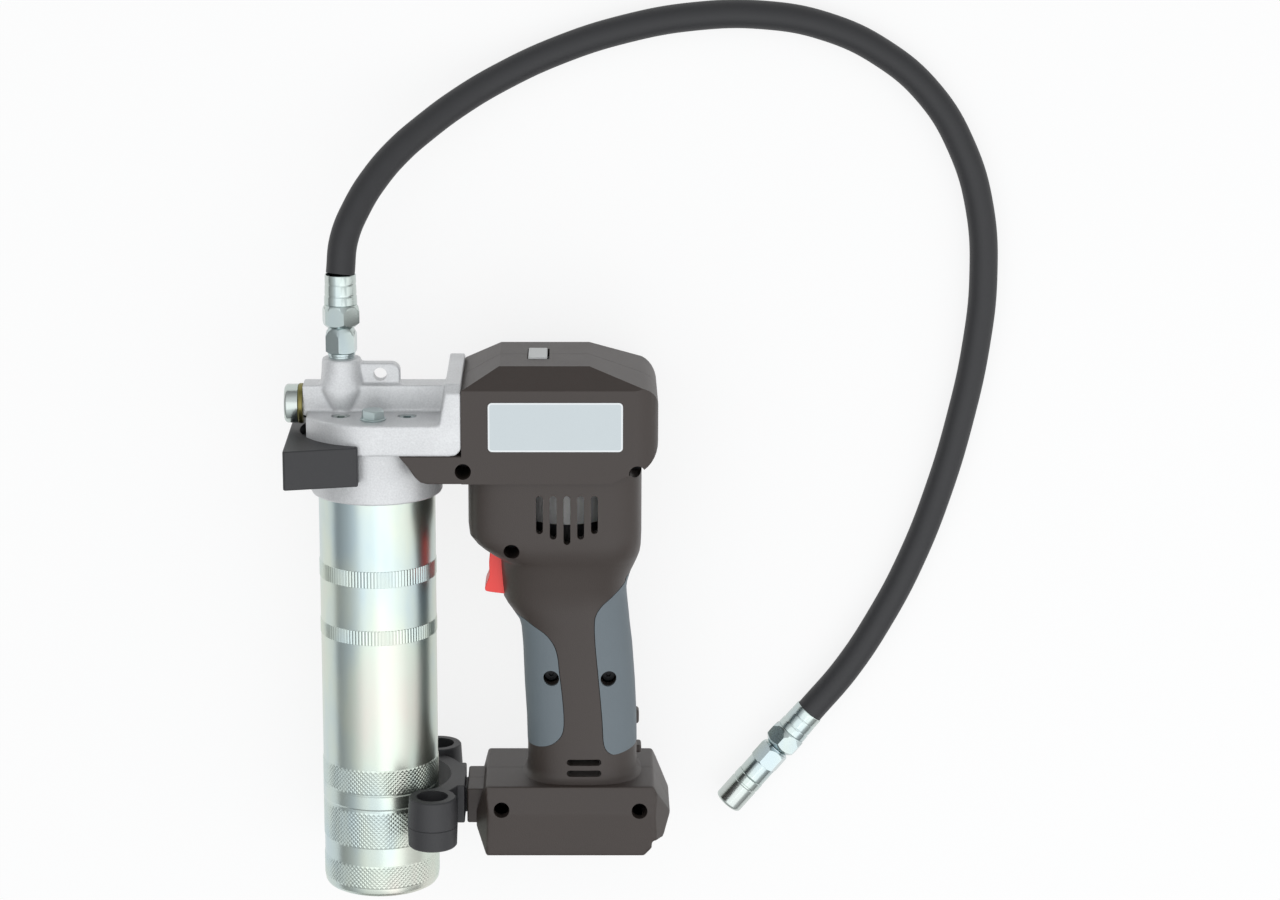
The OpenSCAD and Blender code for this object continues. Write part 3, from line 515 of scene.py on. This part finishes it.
# Head screws, plug and washer
# Four socket screws hold the collar, a hexagon screw closes the vent in the base plate, and a round plug on a
# yellow-passivated washer closes the pump bore. All are zinc-plated steel.
bright_zinc = finish_from(
    plating, "bright_zinc", 0.05, 1.0, Colour=srgb(206, 212, 214), Tint=0.5, Roughness=0.22)
dull_zinc = finish_from(
    plating, "dull_zinc", 0.08, 1.0, Colour=srgb(196, 208, 212), Tint=0.4, Roughness=0.36)
yellow_zinc = finish_from(
    plating, "yellow_zinc", 0.05, 1.0, Colour=srgb(142, 132, 84), Tint=0.5, Roughness=0.36)


def hexagon(corner_r, low, high, low_cone, high_cone, turn=0):
    """A hexagonal bar along Y, each end turned to a cone with an end radius and a height."""
    bar = slab(arc((0, 0), corner_r, turn, turn + 300, 5), "y", low - 1, high + 1)
    wide_r = corner_r + 0.05
    cone = turned([(0, low), (low_cone[0], low), (wide_r, low + low_cone[1]), (wide_r, high - high_cone[1]),
                   (high_cone[0], high), (0, high)], 72)
    return carved(bar, cone, "INTERSECT")


heads = []
for x, z in bolt_spots:
    head = carved(
        turned([(0, plate_y - 5.9), (2.4, plate_y - 5.9), (2.4, deck_y - 5.4), (4.2, deck_y - 5.4),
                (4.2, deck_y - 1), (3.8, deck_y - 0.55), (0, deck_y - 0.55)], 48),
        slab(arc((0, 0), 2.3, 0, 300, 5), "y", deck_y - 1.8, deck_y + 1))
    shift(head, x, z)
    heads.append(head)
add_piece("socket_heads", together(*heads), bright_zinc, "zinc_steel", "collar_screws")
vent_seat = turned([(0, deck_y), (5.9, deck_y), (6.1, deck_y + 0.3), (6.1, deck_y + 0.8), (5.8, deck_y + 1.1),
                    (0, deck_y + 1.1)], 48)
vent = together(hexagon(5.8, deck_y + 1, deck_y + 5, (5.8, 0.05), (4.8, 0.8), 20), vent_seat)
shift(vent, z=24)
add_piece("vent_hexagon", vent, dull_zinc, "zinc_steel", "vent_screw")

bore_y = 245.5
along_x = Matrix.Translation((0, bore_y, 0)) @ Matrix.Rotation(math.radians(90), 4, "Z")
plug = carved(
    turned([(0, 30), (7, 30), (7, 37.2), (9.2, 37.2), (9.5, 37.5), (9.5, 42.6), (8.9, 43.6), (8.2, 44),
            (0, 44)], 72),
    slab(arc((0, 0), 4.6, 0, 300, 5), "y", 39, 45))
bmesh.ops.transform(plug, matrix=along_x, verts=plug.verts)
add_piece("plug_head", plug, bright_zinc, "zinc_steel", "pump_plug")
washer = turned([(7, 35), (9.5, 35), (9.8, 35.3), (9.8, 36.9), (9.5, 37.2), (7, 37.2), (7, 35)], 72)
bmesh.ops.transform(washer, matrix=along_x, verts=washer.verts)
add_piece("plug_seal", washer, yellow_zinc, "yellow_zinc", "plug_washer")

# Bumper
# A moulded rubber guard pushed over the collar and the edge of the plate. It keeps the tool from rolling and
# takes the knocks.
black_rubber = finish_from(
    skin, "black_rubber", 0.40, 0.0, Colour=srgb(47, 47, 49), Grain=1500, Mottle=0.16, Roughness=0.5)
bumper_top = plate_y + 4.8
bumper = slab([(-6.8, 39.1), (-41, 46.8), (-42, 45.8), (-42, -45.8), (-41, -46.8), (-6.8, -39.1)],
              "y", bumper_top - 19.2, bumper_top)
round_off(bumper, 0.9, 4, angle=8)
bumper = carved(bumper, rod(32.15, "y", 200, plate_y + 1, steps=96))
bumper = carved(bumper, rod(37.05, "y", plate_y - 0.01, bumper_top + 1, steps=96))
add_piece("roll_guard", bumper, black_rubber, "bumper_rubber", "bumper")

# Outlet adapter and hose fittings
# A hexagonal steel adapter screws into the outlet boss, and the hose is swaged into a ferrule whose nut
# screws onto the adapter. All bright zinc, with turned chamfers on the hexagons.
adapter = together(
    turned([(0, 266), (6.2, 266), (6.2, 269.6), (6.7, 270), (6.7, 270.8), (6.4, 271.2), (0, 271.2)], 64),
    hexagon(8.1, 271.2, 283.8, (7.0, 0.7), (5.8, 4.4), 36))
shift(adapter, outlet_x)
add_piece("outlet_hexagon", adapter, bright_zinc, "zinc_steel", "outlet_adapter")
nut = hexagon(9.6, 283.8, 294.6, (7.2, 2.2), (7.8, 3.2), 18)
shift(nut, outlet_x)
add_piece("hose_union", nut, bright_zinc, "zinc_steel", "hose_nut")
ferrule = turned([
    (7.05, 294.6), (7.7, 294.6), (8.0, 295.0), (7.9, 298.6), (7.6, 299.1), (7.55, 299.6), (7.75, 300),
    (7.6, 304.2), (7.4, 304.5), (7.4, 304.9), (7.6, 305.2), (7.55, 309.0), (7.35, 309.4), (7.05, 309.4),
    (7.05, 294.6)], 64)
shift(ferrule, outlet_x)
add_piece("hose_swage", ferrule, bright_zinc, "zinc_steel", "hose_ferrule")

# Hose
# High-pressure grease hose: a rubber cover over a braid, wrapped in cloth tape while it was cured, which
# leaves faint slanting lines. It lies in one loop behind the tool.
hose_route = [
    (-0.0662, 0.1675, 0.05235), (-0.0643, 0.1841, 0.04935), (-0.058, 0.1991, 0.04435),
    (-0.0495, 0.2121, 0.03835), (-0.0385, 0.2241, 0.03185), (-0.0255, 0.2346, 0.02535),
    (-0.0095, 0.2456, 0.01835), (0.011, 0.2571, 0.01235), (0.039, 0.2696, 0.00835),
    (0.071, 0.2798, 0.00735), (0.1045, 0.2859, 0.00735), (0.1385, 0.2866, 0.00735),
    (0.1685, 0.2811, 0.00735), (0.1965, 0.2681, 0.00735), (0.22, 0.2481, 0.00735),
    (0.2365, 0.2216, 0.00735), (0.246, 0.1916, 0.00735), (0.2488, 0.1566, 0.00735),
    (0.246, 0.1216, 0.00735), (0.2395, 0.0866, 0.00735), (0.2295, 0.0486, 0.00735),
    (0.216, 0.0111, 0.00735), (0.2015, -0.0182, 0.00835), (0.1845, -0.0454, 0.00935),
    (0.166, -0.0679, 0.01035)]
hose_r = 0.007
hose_curve = bpy.data.curves.new("hose_line", "CURVE")
hose_curve.dimensions = "3D"
hose_curve.bevel_depth = hose_r
hose_curve.bevel_resolution = 8
hose_curve.resolution_u = 8
hose_curve.use_fill_caps = True
hose_spline = hose_curve.splines.new("BEZIER")
hose_spline.bezier_points.add(len(hose_route) - 1)
for point, place in zip(hose_spline.bezier_points, hose_route):
    point.co = place
    point.handle_left_type = "AUTO"
    point.handle_right_type = "AUTO"
hose = bpy.data.objects.new("grease_hose", hose_curve)
scene.collection.objects.link(hose)

hose_cover = bpy.data.materials.new("hose_cover")
hose_cover.use_nodes = True
hose_tree = hose_cover.node_tree
hose_shader = hose_tree.nodes["Principled BSDF"]
hose_skin = hose_tree.nodes.new("ShaderNodeGroup")
hose_skin.node_tree = skin
hose_skin.inputs["Colour"].default_value = srgb(44, 44, 46)
hose_skin.inputs["Grain"].default_value = 1400
hose_skin.inputs["Mottle"].default_value = 0.18
hose_skin.inputs["Roughness"].default_value = 0.55
hose_where = hose_tree.nodes.new("ShaderNodeTexCoord")
hose_slant = hose_tree.nodes.new("ShaderNodeMapping")
hose_slant.inputs["Scale"].default_value = (22, 1, 1)
hose_wrap = hose_tree.nodes.new("ShaderNodeTexWave")
hose_wrap.wave_type = "BANDS"
hose_wrap.bands_direction = "DIAGONAL"
hose_wrap.inputs["Scale"].default_value = 1
hose_wrap.inputs["Distortion"].default_value = 0.6
hose_relief = hose_tree.nodes.new("ShaderNodeBump")
hose_relief.inputs["Strength"].default_value = 0.25
hose_relief.inputs["Distance"].default_value = 0.0003
hose_tree.links.new(hose_where.outputs["UV"], hose_slant.inputs["Vector"])
hose_tree.links.new(hose_slant.outputs["Vector"], hose_wrap.inputs["Vector"])
hose_tree.links.new(hose_wrap.outputs["Fac"], hose_relief.inputs["Height"])
hose_tree.links.new(hose_skin.outputs["Colour"], hose_shader.inputs["Base Color"])
hose_tree.links.new(hose_skin.outputs["Roughness"], hose_shader.inputs["Roughness"])
hose_tree.links.new(hose_relief.outputs["Normal"], hose_shader.inputs["Normal"])
hose_curve.materials.append(hose_cover)
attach(hose, "tool")
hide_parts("hose")

# Coupler
# The same swage and nut at the hose's free end, then a hydraulic grease coupler: a hexagonal body and a
# turned sleeve that closes three hardened jaws on the nipple.
hose_end = LAY.inverted() @ Vector(hose_route[-1])
ON_END = Matrix.Translation(hose_end) @ Matrix.Rotation(math.radians(140), 4, "Z")


def on_end(bm):
    """Moves a fitting that was drawn along Y from 0 to the end of the hose."""
    bmesh.ops.transform(bm, matrix=ON_END, verts=bm.verts)
    return bm


end_swage = turned([
    (7.05, -0.4), (7.3, -0.4), (7.55, 0), (7.6, 4.0), (7.4, 4.3), (7.4, 4.7), (7.6, 5.0), (7.75, 9.2),
    (7.55, 9.6), (7.6, 10.1), (7.9, 10.5), (8.0, 13.6), (7.7, 14), (0, 14)], 64)
end_hex = hexagon(9.6, 14, 25, (7.8, 3.2), (6.2, 3.4), 12)
coupler = together(
    turned([(0, 24), (5, 24), (5, 26), (0, 26)], 48),
    hexagon(8.0, 26, 36, (7.0, 1.2), (7.2, 0.8), 5),
    turned([(0, 36), (7.2, 36), (7.2, 44.7), (6.8, 45), (0, 45)], 64))
sleeve = turned([
    (5.2, 45), (6.9, 45), (7.4, 45.5), (7.4, 49.4), (7.1, 49.7), (7.1, 50.5), (7.4, 50.8), (7.4, 62.4),
    (7.2, 63.2), (6.6, 63.8), (6.2, 64), (5.2, 64), (5.2, 45)], 64)
jaws = turned([(0, 46), (5.1, 46), (5.1, 62.6), (4.7, 63.4), (3.3, 63.4), (3.3, 56), (0, 56)], 48)
coupler_pieces = [
    add_piece("end_swage", on_end(end_swage), bright_zinc, "zinc_steel", "end_ferrule"),
    add_piece("end_union", on_end(end_hex), bright_zinc, "zinc_steel", "end_nut"),
    add_piece("coupler_hexagon", on_end(coupler), bright_zinc, "zinc_steel", "coupler_body"),
    add_piece("coupler_cap", on_end(sleeve), bright_zinc, "zinc_steel", "coupler_sleeve"),
    add_piece("coupler_grip", on_end(jaws), bright_zinc, "zinc_steel", "coupler_jaws")]

# Motor housing
# Two glass-filled nylon halves, screwed together along the tool's middle plane: the gear case with its
# sloped edges, the motor, the handle, and the foot that the battery slides onto.
housing_plastic = finish_from(
    skin, "housing_plastic", 0.35, 0.0, Colour=srgb(60, 52, 48), Grain=1900, Mottle=0.14, Roughness=0.47)
box_y = 214.3
box_top = 270
box_half = 37
box_right = 136.8
slope_y = 260
foot_top = 58.8
foot_bottom = 23
foot_half = 32

gear_case = slab(
    [(flange_x, box_y), (flange_x, slope_y), (60.6, box_top), (103.8, box_top)]
    + arc((box_right - 11, 250.6), 11, 75, 0) + arc((box_right - 14, 233.2), 14, 0, -80)
    + [(119, 217), (114, box_y)], "z", -box_half, box_half)
gear_case = carved(gear_case, slab(
    [(-box_half, 205), (-box_half, slope_y), (-27, box_top), (27, box_top), (box_half, slope_y),
     (box_half, 205)], "x", flange_x, 150), "INTERSECT")
gear_case = carved(gear_case, slab(
    [(flange_x, -box_half)] + arc((box_right - 12, -25), 12, -90, 0) + arc((box_right - 12, 25), 12, 0, 90)
    + [(flange_x, box_half)], "y", 200, 280), "INTERSECT")
round_off(gear_case, 1.1, 3, angle=22)

# Height, front, back, half width and squareness of the handle, from the motor down to the foot
handle_sections = [
    (217, 45, 129.2, 35, 5), (200, 45, 129.2, 35, 5), (190, 45, 129.2, 35, 5), (185, 45.6, 129.2, 35, 5),
    (181, 48.5, 129.1, 34.8, 4.6), (178, 51.5, 129, 34, 4.2), (175, 55.5, 128.6, 33, 4),
    (172.5, 59, 127.9, 31.8, 3.6), (171, 60.6, 127.4, 31.2, 3.5), (168, 60.6, 126.2, 30, 3.3),
    (163, 60.8, 124, 28.4, 3.1), (158, 61.1, 122.6, 26.8, 3), (154, 61.4, 122, 25.6, 2.9),
    (150, 61.8, 122.2, 24.8, 2.8), (147, 63.4, 122.5, 24.3, 2.8), (143, 66.3, 122.9, 24.1, 2.75),
    (138.5, 69.3, 123.4, 23.9, 2.7), (134, 70.5, 123.8, 23.7, 2.7), (124, 71.3, 125, 23.5, 2.7),
    (105, 72, 126.4, 23.6, 2.7), (88, 73, 127.2, 24, 2.7), (72, 73.4, 127.4, 24.3, 2.7),
    (64, 73.4, 127.5, 24.6, 2.7), (61.5, 73.1, 127.8, 25, 2.7), (60, 72.3, 128.6, 25.8, 2.7),
    (58.5, 70.6, 130.2, 27.4, 2.7)]


def handle_form(grow=0.0, steps=96):
    """The motor housing and handle, skinned over their sections and grown or shrunk all round."""
    bm = bmesh.new()
    rings = []
    for height, front, back, half, square in handle_sections:
        middle = (front + back) / 2
        reach = (back - front) / 2 + grow
        ring = []
        for i in range(steps):
            c = math.cos(2 * math.pi * i / steps)
            s = math.sin(2 * math.pi * i / steps)
            ring.append(bm.verts.new((
                middle + reach * math.copysign(abs(c) ** (2 / square), c), height,
                (half + grow) * math.copysign(abs(s) ** (2 / square), s))))
        rings.append(ring)
    loops = [[bm.edges.new((a, b)) for a, b in zip(ring, ring[1:] + ring[:1])] for ring in rings]
    for upper, lower in zip(loops, loops[1:]):
        bmesh.ops.bridge_loops(bm, edges=upper + lower)
    bmesh.ops.contextual_create(bm, geom=loops[0])
    bmesh.ops.contextual_create(bm, geom=loops[-1])
    bmesh.ops.recalc_face_normals(bm, faces=bm.faces)
    return bm


foot = slab(
    [(53, foot_top), (48, 42), (48, 34), (53, foot_bottom), (131, foot_bottom), (134.7, 27), (134.7, 31),
     (140.4, 31), (144, 42), (135.5, foot_top)], "z", -foot_half, foot_half)
foot = carved(foot, slab(
    [(-29.6, foot_top), (-foot_half, 46), (-30, foot_bottom), (30, foot_bottom), (foot_half, 46),
     (29.6, foot_top)], "x", 40, 150), "INTERSECT")
foot = carved(foot, slab(
    [(48, -18), (54, -foot_half), (136, -foot_half), (144, -18), (144, 18), (136, foot_half), (54, foot_half),
     (48, 18)], "y", 20, 60), "INTERSECT")
foot = worked(
    foot, ("REMESH", {"mode": "VOXEL", "voxel_size": 0.8}), ("SMOOTH", {"factor": 0.5, "iterations": 4}))
saddle = slab(
    [(12.5, plate_y), (46, plate_y), (46, box_y), (26, box_y), (22.8, box_y + 0.9), (20.3, box_y + 3.4),
     (17.3, box_y + 8)], "z", -box_half, box_half)
round_off(saddle, 0.8, 3, where=lambda e: (
    all(v.co.x < 30 for v in e.verts) or abs(e.verts[0].co.z - e.verts[1].co.z) < 1))
saddle = carved(saddle, rod(32.3, "y", 200, 240, steps=96))
arm = round_off(block((43.4, 35.7, -17.5), (56, 53.5, 17.5)), 1)
shell = gear_case
for part in (handle_form(), saddle, foot, arm):
    shell = carved(shell, part, "UNION")

trigger_low = box_y - 63.9
trigger_high = box_y - 43.5
# The hollows for gears, motor, switch, wires, battery rails, trigger, key and holder, corner to corner
rooms = [
    ((47, 217.3, -33), (129.8, 257, 33)), ((42, 228.6, -30), (49, 257, 30)),
    ((62, 256, -24), (103, 266.4, 24)), ((62, 182, -29), (121, 218.3, 29)),
    ((66, trigger_low - 0.4, -13), (76, 183, 13)), ((75, trigger_low - 0.4, -16.5), (113, 183, 16.5)),
    ((79, 54.8, -15), (119, trigger_low + 1.6, 15)), ((56, 33, -26), (130, 55.8, 26)),
    ((66, 22, -22), (136, 31, 22)), ((52, trigger_low - 0.4, -9.4), (67, trigger_high + 3, 9.4)),
    ((73.9, 261, -11.4), (84.5, 271, 11.4)), ((42.4, 38, -8), (48, 51, 8))]
for low, high in rooms:
    shell = carved(shell, block(low, high))
vent_r = 1.65
vent_top = 206.35
for i in range(-2, 3):
    middle = 93 + 6.6 * i
    vent_bottom = 208 - (24.3 - 2.7 * abs(i)) + vent_r
    for side in (-1, 1):
        shell = carved(shell, slab(
            arc((middle, vent_top), vent_r, 0, 180) + arc((middle, vent_bottom), vent_r, 180, 360),
            "z", 17 * side, 40 * side))
grille_r = 1.6
for low in (62.3, 67.9):
    for side in (-1, 1):
        shell = carved(shell, slab(
            arc((108.2, low + grille_r), grille_r, -90, 90) + arc((94.3, low + grille_r), grille_r, 90, 270),
            "z", 14 * side, 40 * side))
grip_screws = [(85.2, 112.3), (113.2, 112)]
screw_spots = [(43.3, 220.5), (126.6, 219.3), (66.3, 179.8)] + grip_screws + [(60.7, 47.4), (128.5, 46.9)]
screw_hole_r = 3.9
for spot in screw_spots:
    shell = carved(shell, rod(screw_hole_r, "z", 12, 45, spot, 32))


def smooth_line(points, steps=6):
    """A curve through points, for the edges of the soft pads."""
    line = []
    padded = [points[0]] + list(points) + [points[-1]]
    for a, b, c, d in zip(padded, padded[1:], padded[2:], padded[3:]):
        for i in range(steps):
            t = i / steps
            line.append(tuple(
                0.5 * (2 * b[k] + (c[k] - a[k]) * t + (2 * a[k] - 5 * b[k] + 4 * c[k] - d[k]) * t * t
                       + (3 * b[k] - a[k] - 3 * c[k] + d[k]) * t ** 3) for k in (0, 1)))
    return line + [points[-1]]


front_edge = smooth_line([
    (58, 146.6), (70.6, 142), (76.4, 138.5), (82.7, 134.5), (86.6, 129.5), (88.5, 123.5), (89.4, 115),
    (90.8, 103), (91.6, 91), (90.7, 84), (87.3, 79.5), (82.8, 77), (76, 75.6), (66, 75.6)])
back_edge = smooth_line([
    (133, 165.6), (122.7, 163), (120.7, 159), (114.9, 153.5), (109.6, 149), (106.6, 144), (106.1, 138),
    (106.6, 128), (107.8, 115), (108.9, 103), (109.9, 91), (110.8, 78.5), (113.8, 73.8),
    (118.7, 73.2), (133, 76.4)])
pad_depth = 1.5
for edge in (front_edge, back_edge):
    shell = carved(shell, carved(slab(edge, "z", -40, 40), handle_form(-pad_depth)))

seam = 0.12


def half_of(whole, side):
    """The near or the far half of a form, short of the middle plane by half the seam."""
    low, high = (seam, 60) if side == "near" else (-60, -seam)
    return carved(whole.copy(), block((-60, -10, low), (170, 300, high)), "INTERSECT")


near_half = half_of(shell, "near")
strap_eye = [round_off(block((124, 64.8, -14), (129.9, 68.8, -4)), 1.2),
             round_off(block((123, 79.4, -13), (128.7, 87, -5)), 1.6)]
far_half = together(half_of(shell, "far"), *strap_eye)
add_piece("housing_shell_near", near_half, housing_plastic, "housing_plastic", "housing_near", crease=28)
add_piece("housing_shell_far", far_half, housing_plastic, "housing_plastic", "housing_far", crease=28)
shell.free()

# Soft grips
# Pads of soft elastomer moulded into recesses on the front and the back of the handle, one on each half.
grip_rubber = finish_from(
    skin, "grip_rubber", 0.4, 0.0, Colour=srgb(108, 118, 124), Grain=1700, Mottle=0.10, Roughness=0.62)
pad_gap = 0.35
for end, edge in (("front", front_edge), ("back", back_edge)):
    inner = [((x - pad_gap if end == "front" else x + pad_gap), y) for x, y in edge]
    pad = carved(handle_form(0.1), slab(inner, "z", -40, 40), "INTERSECT")
    pad = carved(pad, handle_form(-pad_depth + 0.02))
    for spot in grip_screws:
        pad = carved(pad, rod(screw_hole_r, "z", 12, 45, spot, 32))
    for side in ("near", "far"):
        add_piece(f"{end}_pad_{side}", half_of(pad, side), grip_rubber, "grip_rubber", f"{end}_grip_{side}",
                  crease=28)
    pad.free()

# Label, key and trigger
# A bare film label on the gear case, a pale key in its top, and the red trigger, which slides into the
# handle on a stem against a spring.
label_film = finish_from(
    skin, "label_film", 0.05, 0.0, Colour=srgb(206, 215, 218), Grain=900, Mottle=0.03, Roughness=0.4)
label_r = 2
label_corners = ((117.7, 252.4, 0), (57.4, 252.4, 90), (57.4, 232.4, 180), (117.7, 232.4, 270))
label = slab([p for x, y, turn in label_corners for p in arc((x, y), label_r, turn, turn + 90)],
             "z", box_half, box_half + 0.4)
label_rim = finish_from(
    skin, "label_rim", 0.03, 0.0, Colour=srgb(236, 240, 241), Grain=900, Mottle=0.02, Roughness=0.35)
label_front = [f for f in label.faces if f.normal.z > 0.9]
bmesh.ops.inset_region(label, faces=label_front, thickness=0.8, depth=0)
label_sheet = add_piece("label_sheet", label, label_rim, "label_film", "label_plate")
label_sheet.data.materials.append(label_film)
max(label_sheet.data.polygons, key=lambda face: face.area * face.normal.z + face.center.z).material_index = 1

key_plastic = finish_from(
    skin, "key_plastic", 0.15, 0.0, Colour=srgb(206, 207, 206), Grain=1500, Mottle=0.05, Roughness=0.4)
key = together(
    round_off(block((74.3, 265.4, -11), (83.5, 270.7, 11)), 0.7),
    block((73.3, 264.1, -12), (84.5, 266.1, 12)))
add_piece("key_cap", key, key_plastic, "key_plastic", "mode_key", body="mode_key")

trigger_plastic = finish_from(
    skin, "trigger_plastic", 0.12, 0.0, Colour=srgb(248, 68, 62), Grain=1500, Mottle=0.05, Roughness=0.38)
trigger_line = smooth_line([
    (56.5, trigger_high + 2.4), (55.4, trigger_high + 1.6), (54.8, trigger_high - 3), (54.9, trigger_high - 9),
    (54.4, trigger_high - 11.6), (53.1, trigger_high - 14.8), (52.7, trigger_high - 16.6),
    (53.4, trigger_high - 17.9), (57, trigger_high - 18.6), (62, trigger_high - 19.2)])
finger = slab([(66, trigger_high + 2.4)] + trigger_line + [(66.5, trigger_high - 19.4)], "z", -9, 9)
round_off(finger, 1.8, 4, angle=50)
trigger = together(
    finger, block((66.3, trigger_low, -12.5), (68.3, trigger_high, 12.5)),
    rod(3, "x", 67.3, 77.3, (0, trigger_low + 9.6)))
add_piece("trigger_finger", trigger, trigger_plastic, "trigger_plastic", "trigger", body="trigger")

# Nozzle holder
# A moulded nylon clip round the barrel, plugged into the foot's arm, with a cup on each side to park the
# coupler in.
holder_plastic = finish_from(
    skin, "holder_plastic", 0.3, 0.0, Colour=srgb(50, 50, 52), Grain=1700, Mottle=0.12, Roughness=0.5)
holder_top = 57.8
ring_top = holder_top - 2.6
cup_x = 27.2
cup_z = 40
holder = slab(arc((0, 0), 42.5, -58, 58, 40), "y", 35.6, ring_top)
holder = carved(holder, block((12, 30, -60), (60, 60, 60)), "INTERSECT")
round_off(holder, 0.8, 3)
holder = carved(holder, round_off(block((29, 35.6, -17.5), (42.2, ring_top, 17.5)), 0.8), "UNION")
holder = carved(holder, block((41.2, 38.2, -7.8), (48, 50.8, 7.8)), "UNION")
for side in (-1, 1):
    cup = turned([
        (0, holder_top - 25), (11.3, holder_top - 25), (11.9, holder_top - 24.3), (12.25, holder_top - 14.9),
        (12.0, holder_top - 14.6), (12.3, holder_top - 14.3), (11.5, holder_top - 0.7), (11, holder_top),
        (0, holder_top)], 72)
    shift(cup, cup_x, cup_z * side)
    holder = carved(holder, cup, "UNION")
holder = carved(holder, rod(35, "y", 0, 100, steps=96))
for side in (-1, 1):
    holder = carved(holder, rod(7.75, "y", 0, 100, (cup_x, cup_z * side), 64))
add_piece("nozzle_clip", holder, holder_plastic, "holder_plastic", "nozzle_holder", crease=28)

# Inside the tool
# Motor, gears, plunger, valve, switches and terminals stay as they were designed, each in the finish of its
# own material.
inside = {
    "cast_aluminium": cast_aluminium, "zinc_steel": bright_zinc, "barrel_steel": barrel_zinc,
    "yellow_zinc": yellow_zinc, "bumper_rubber": black_rubber, "housing_plastic": housing_plastic,
    "grip_rubber": grip_rubber,
    "holder_plastic": holder_plastic, "label_film": label_film, "key_plastic": key_plastic,
    "trigger_plastic": trigger_plastic, "hose_rubber": hose_cover,
    "grease_pack": finish_from(
        skin, "grease_pack", 0.1, 0.0, Colour=srgb(206, 176, 96), Grain=700, Mottle=0.10, Roughness=0.45),
    "dark_screws": finish_from(
        plating, "dark_screws", 0.05, 1.0, Colour=srgb(44, 44, 46), Tint=0.2, Roughness=0.4),
    "black_plastic": finish_from(
        skin, "black_plastic", 0.2, 0.0, Colour=srgb(40, 40, 42), Grain=1600, Mottle=0.10, Roughness=0.5),
    "steel": finish_from(
        plating, "machined_steel", 0.04, 1.0, Colour=srgb(200, 202, 204), Tint=0.15, Roughness=0.26),
    "bronze": finish_from(
        plating, "bronze", 0.06, 1.0, Colour=srgb(190, 150, 96), Tint=0.3, Roughness=0.34),
    "contact_brass": finish_from(
        plating, "contact_brass", 0.04, 1.0, Colour=srgb(214, 184, 110), Tint=0.2, Roughness=0.24)}
# The motor can gets a copy of the steel lifted to near white. This is a painted sheen that stands in for the
# bright reflections on the can, which sits in shade between the vents.
motor_steel_painted_sheen = finish_from(
    skin, "motor_steel_painted_sheen", 0.1, 0.2, Colour=srgb(244, 244, 242), Grain=1200, Mottle=0.15, Roughness=0.5)
for entry in frame["record"]["subparts"]:
    mesh = frame["nodes"][entry["node"]].data
    mesh.materials.clear()
    mesh.materials.append(motor_steel_painted_sheen if entry["node"] == "motor_can" else inside[entry["material_slot"]])
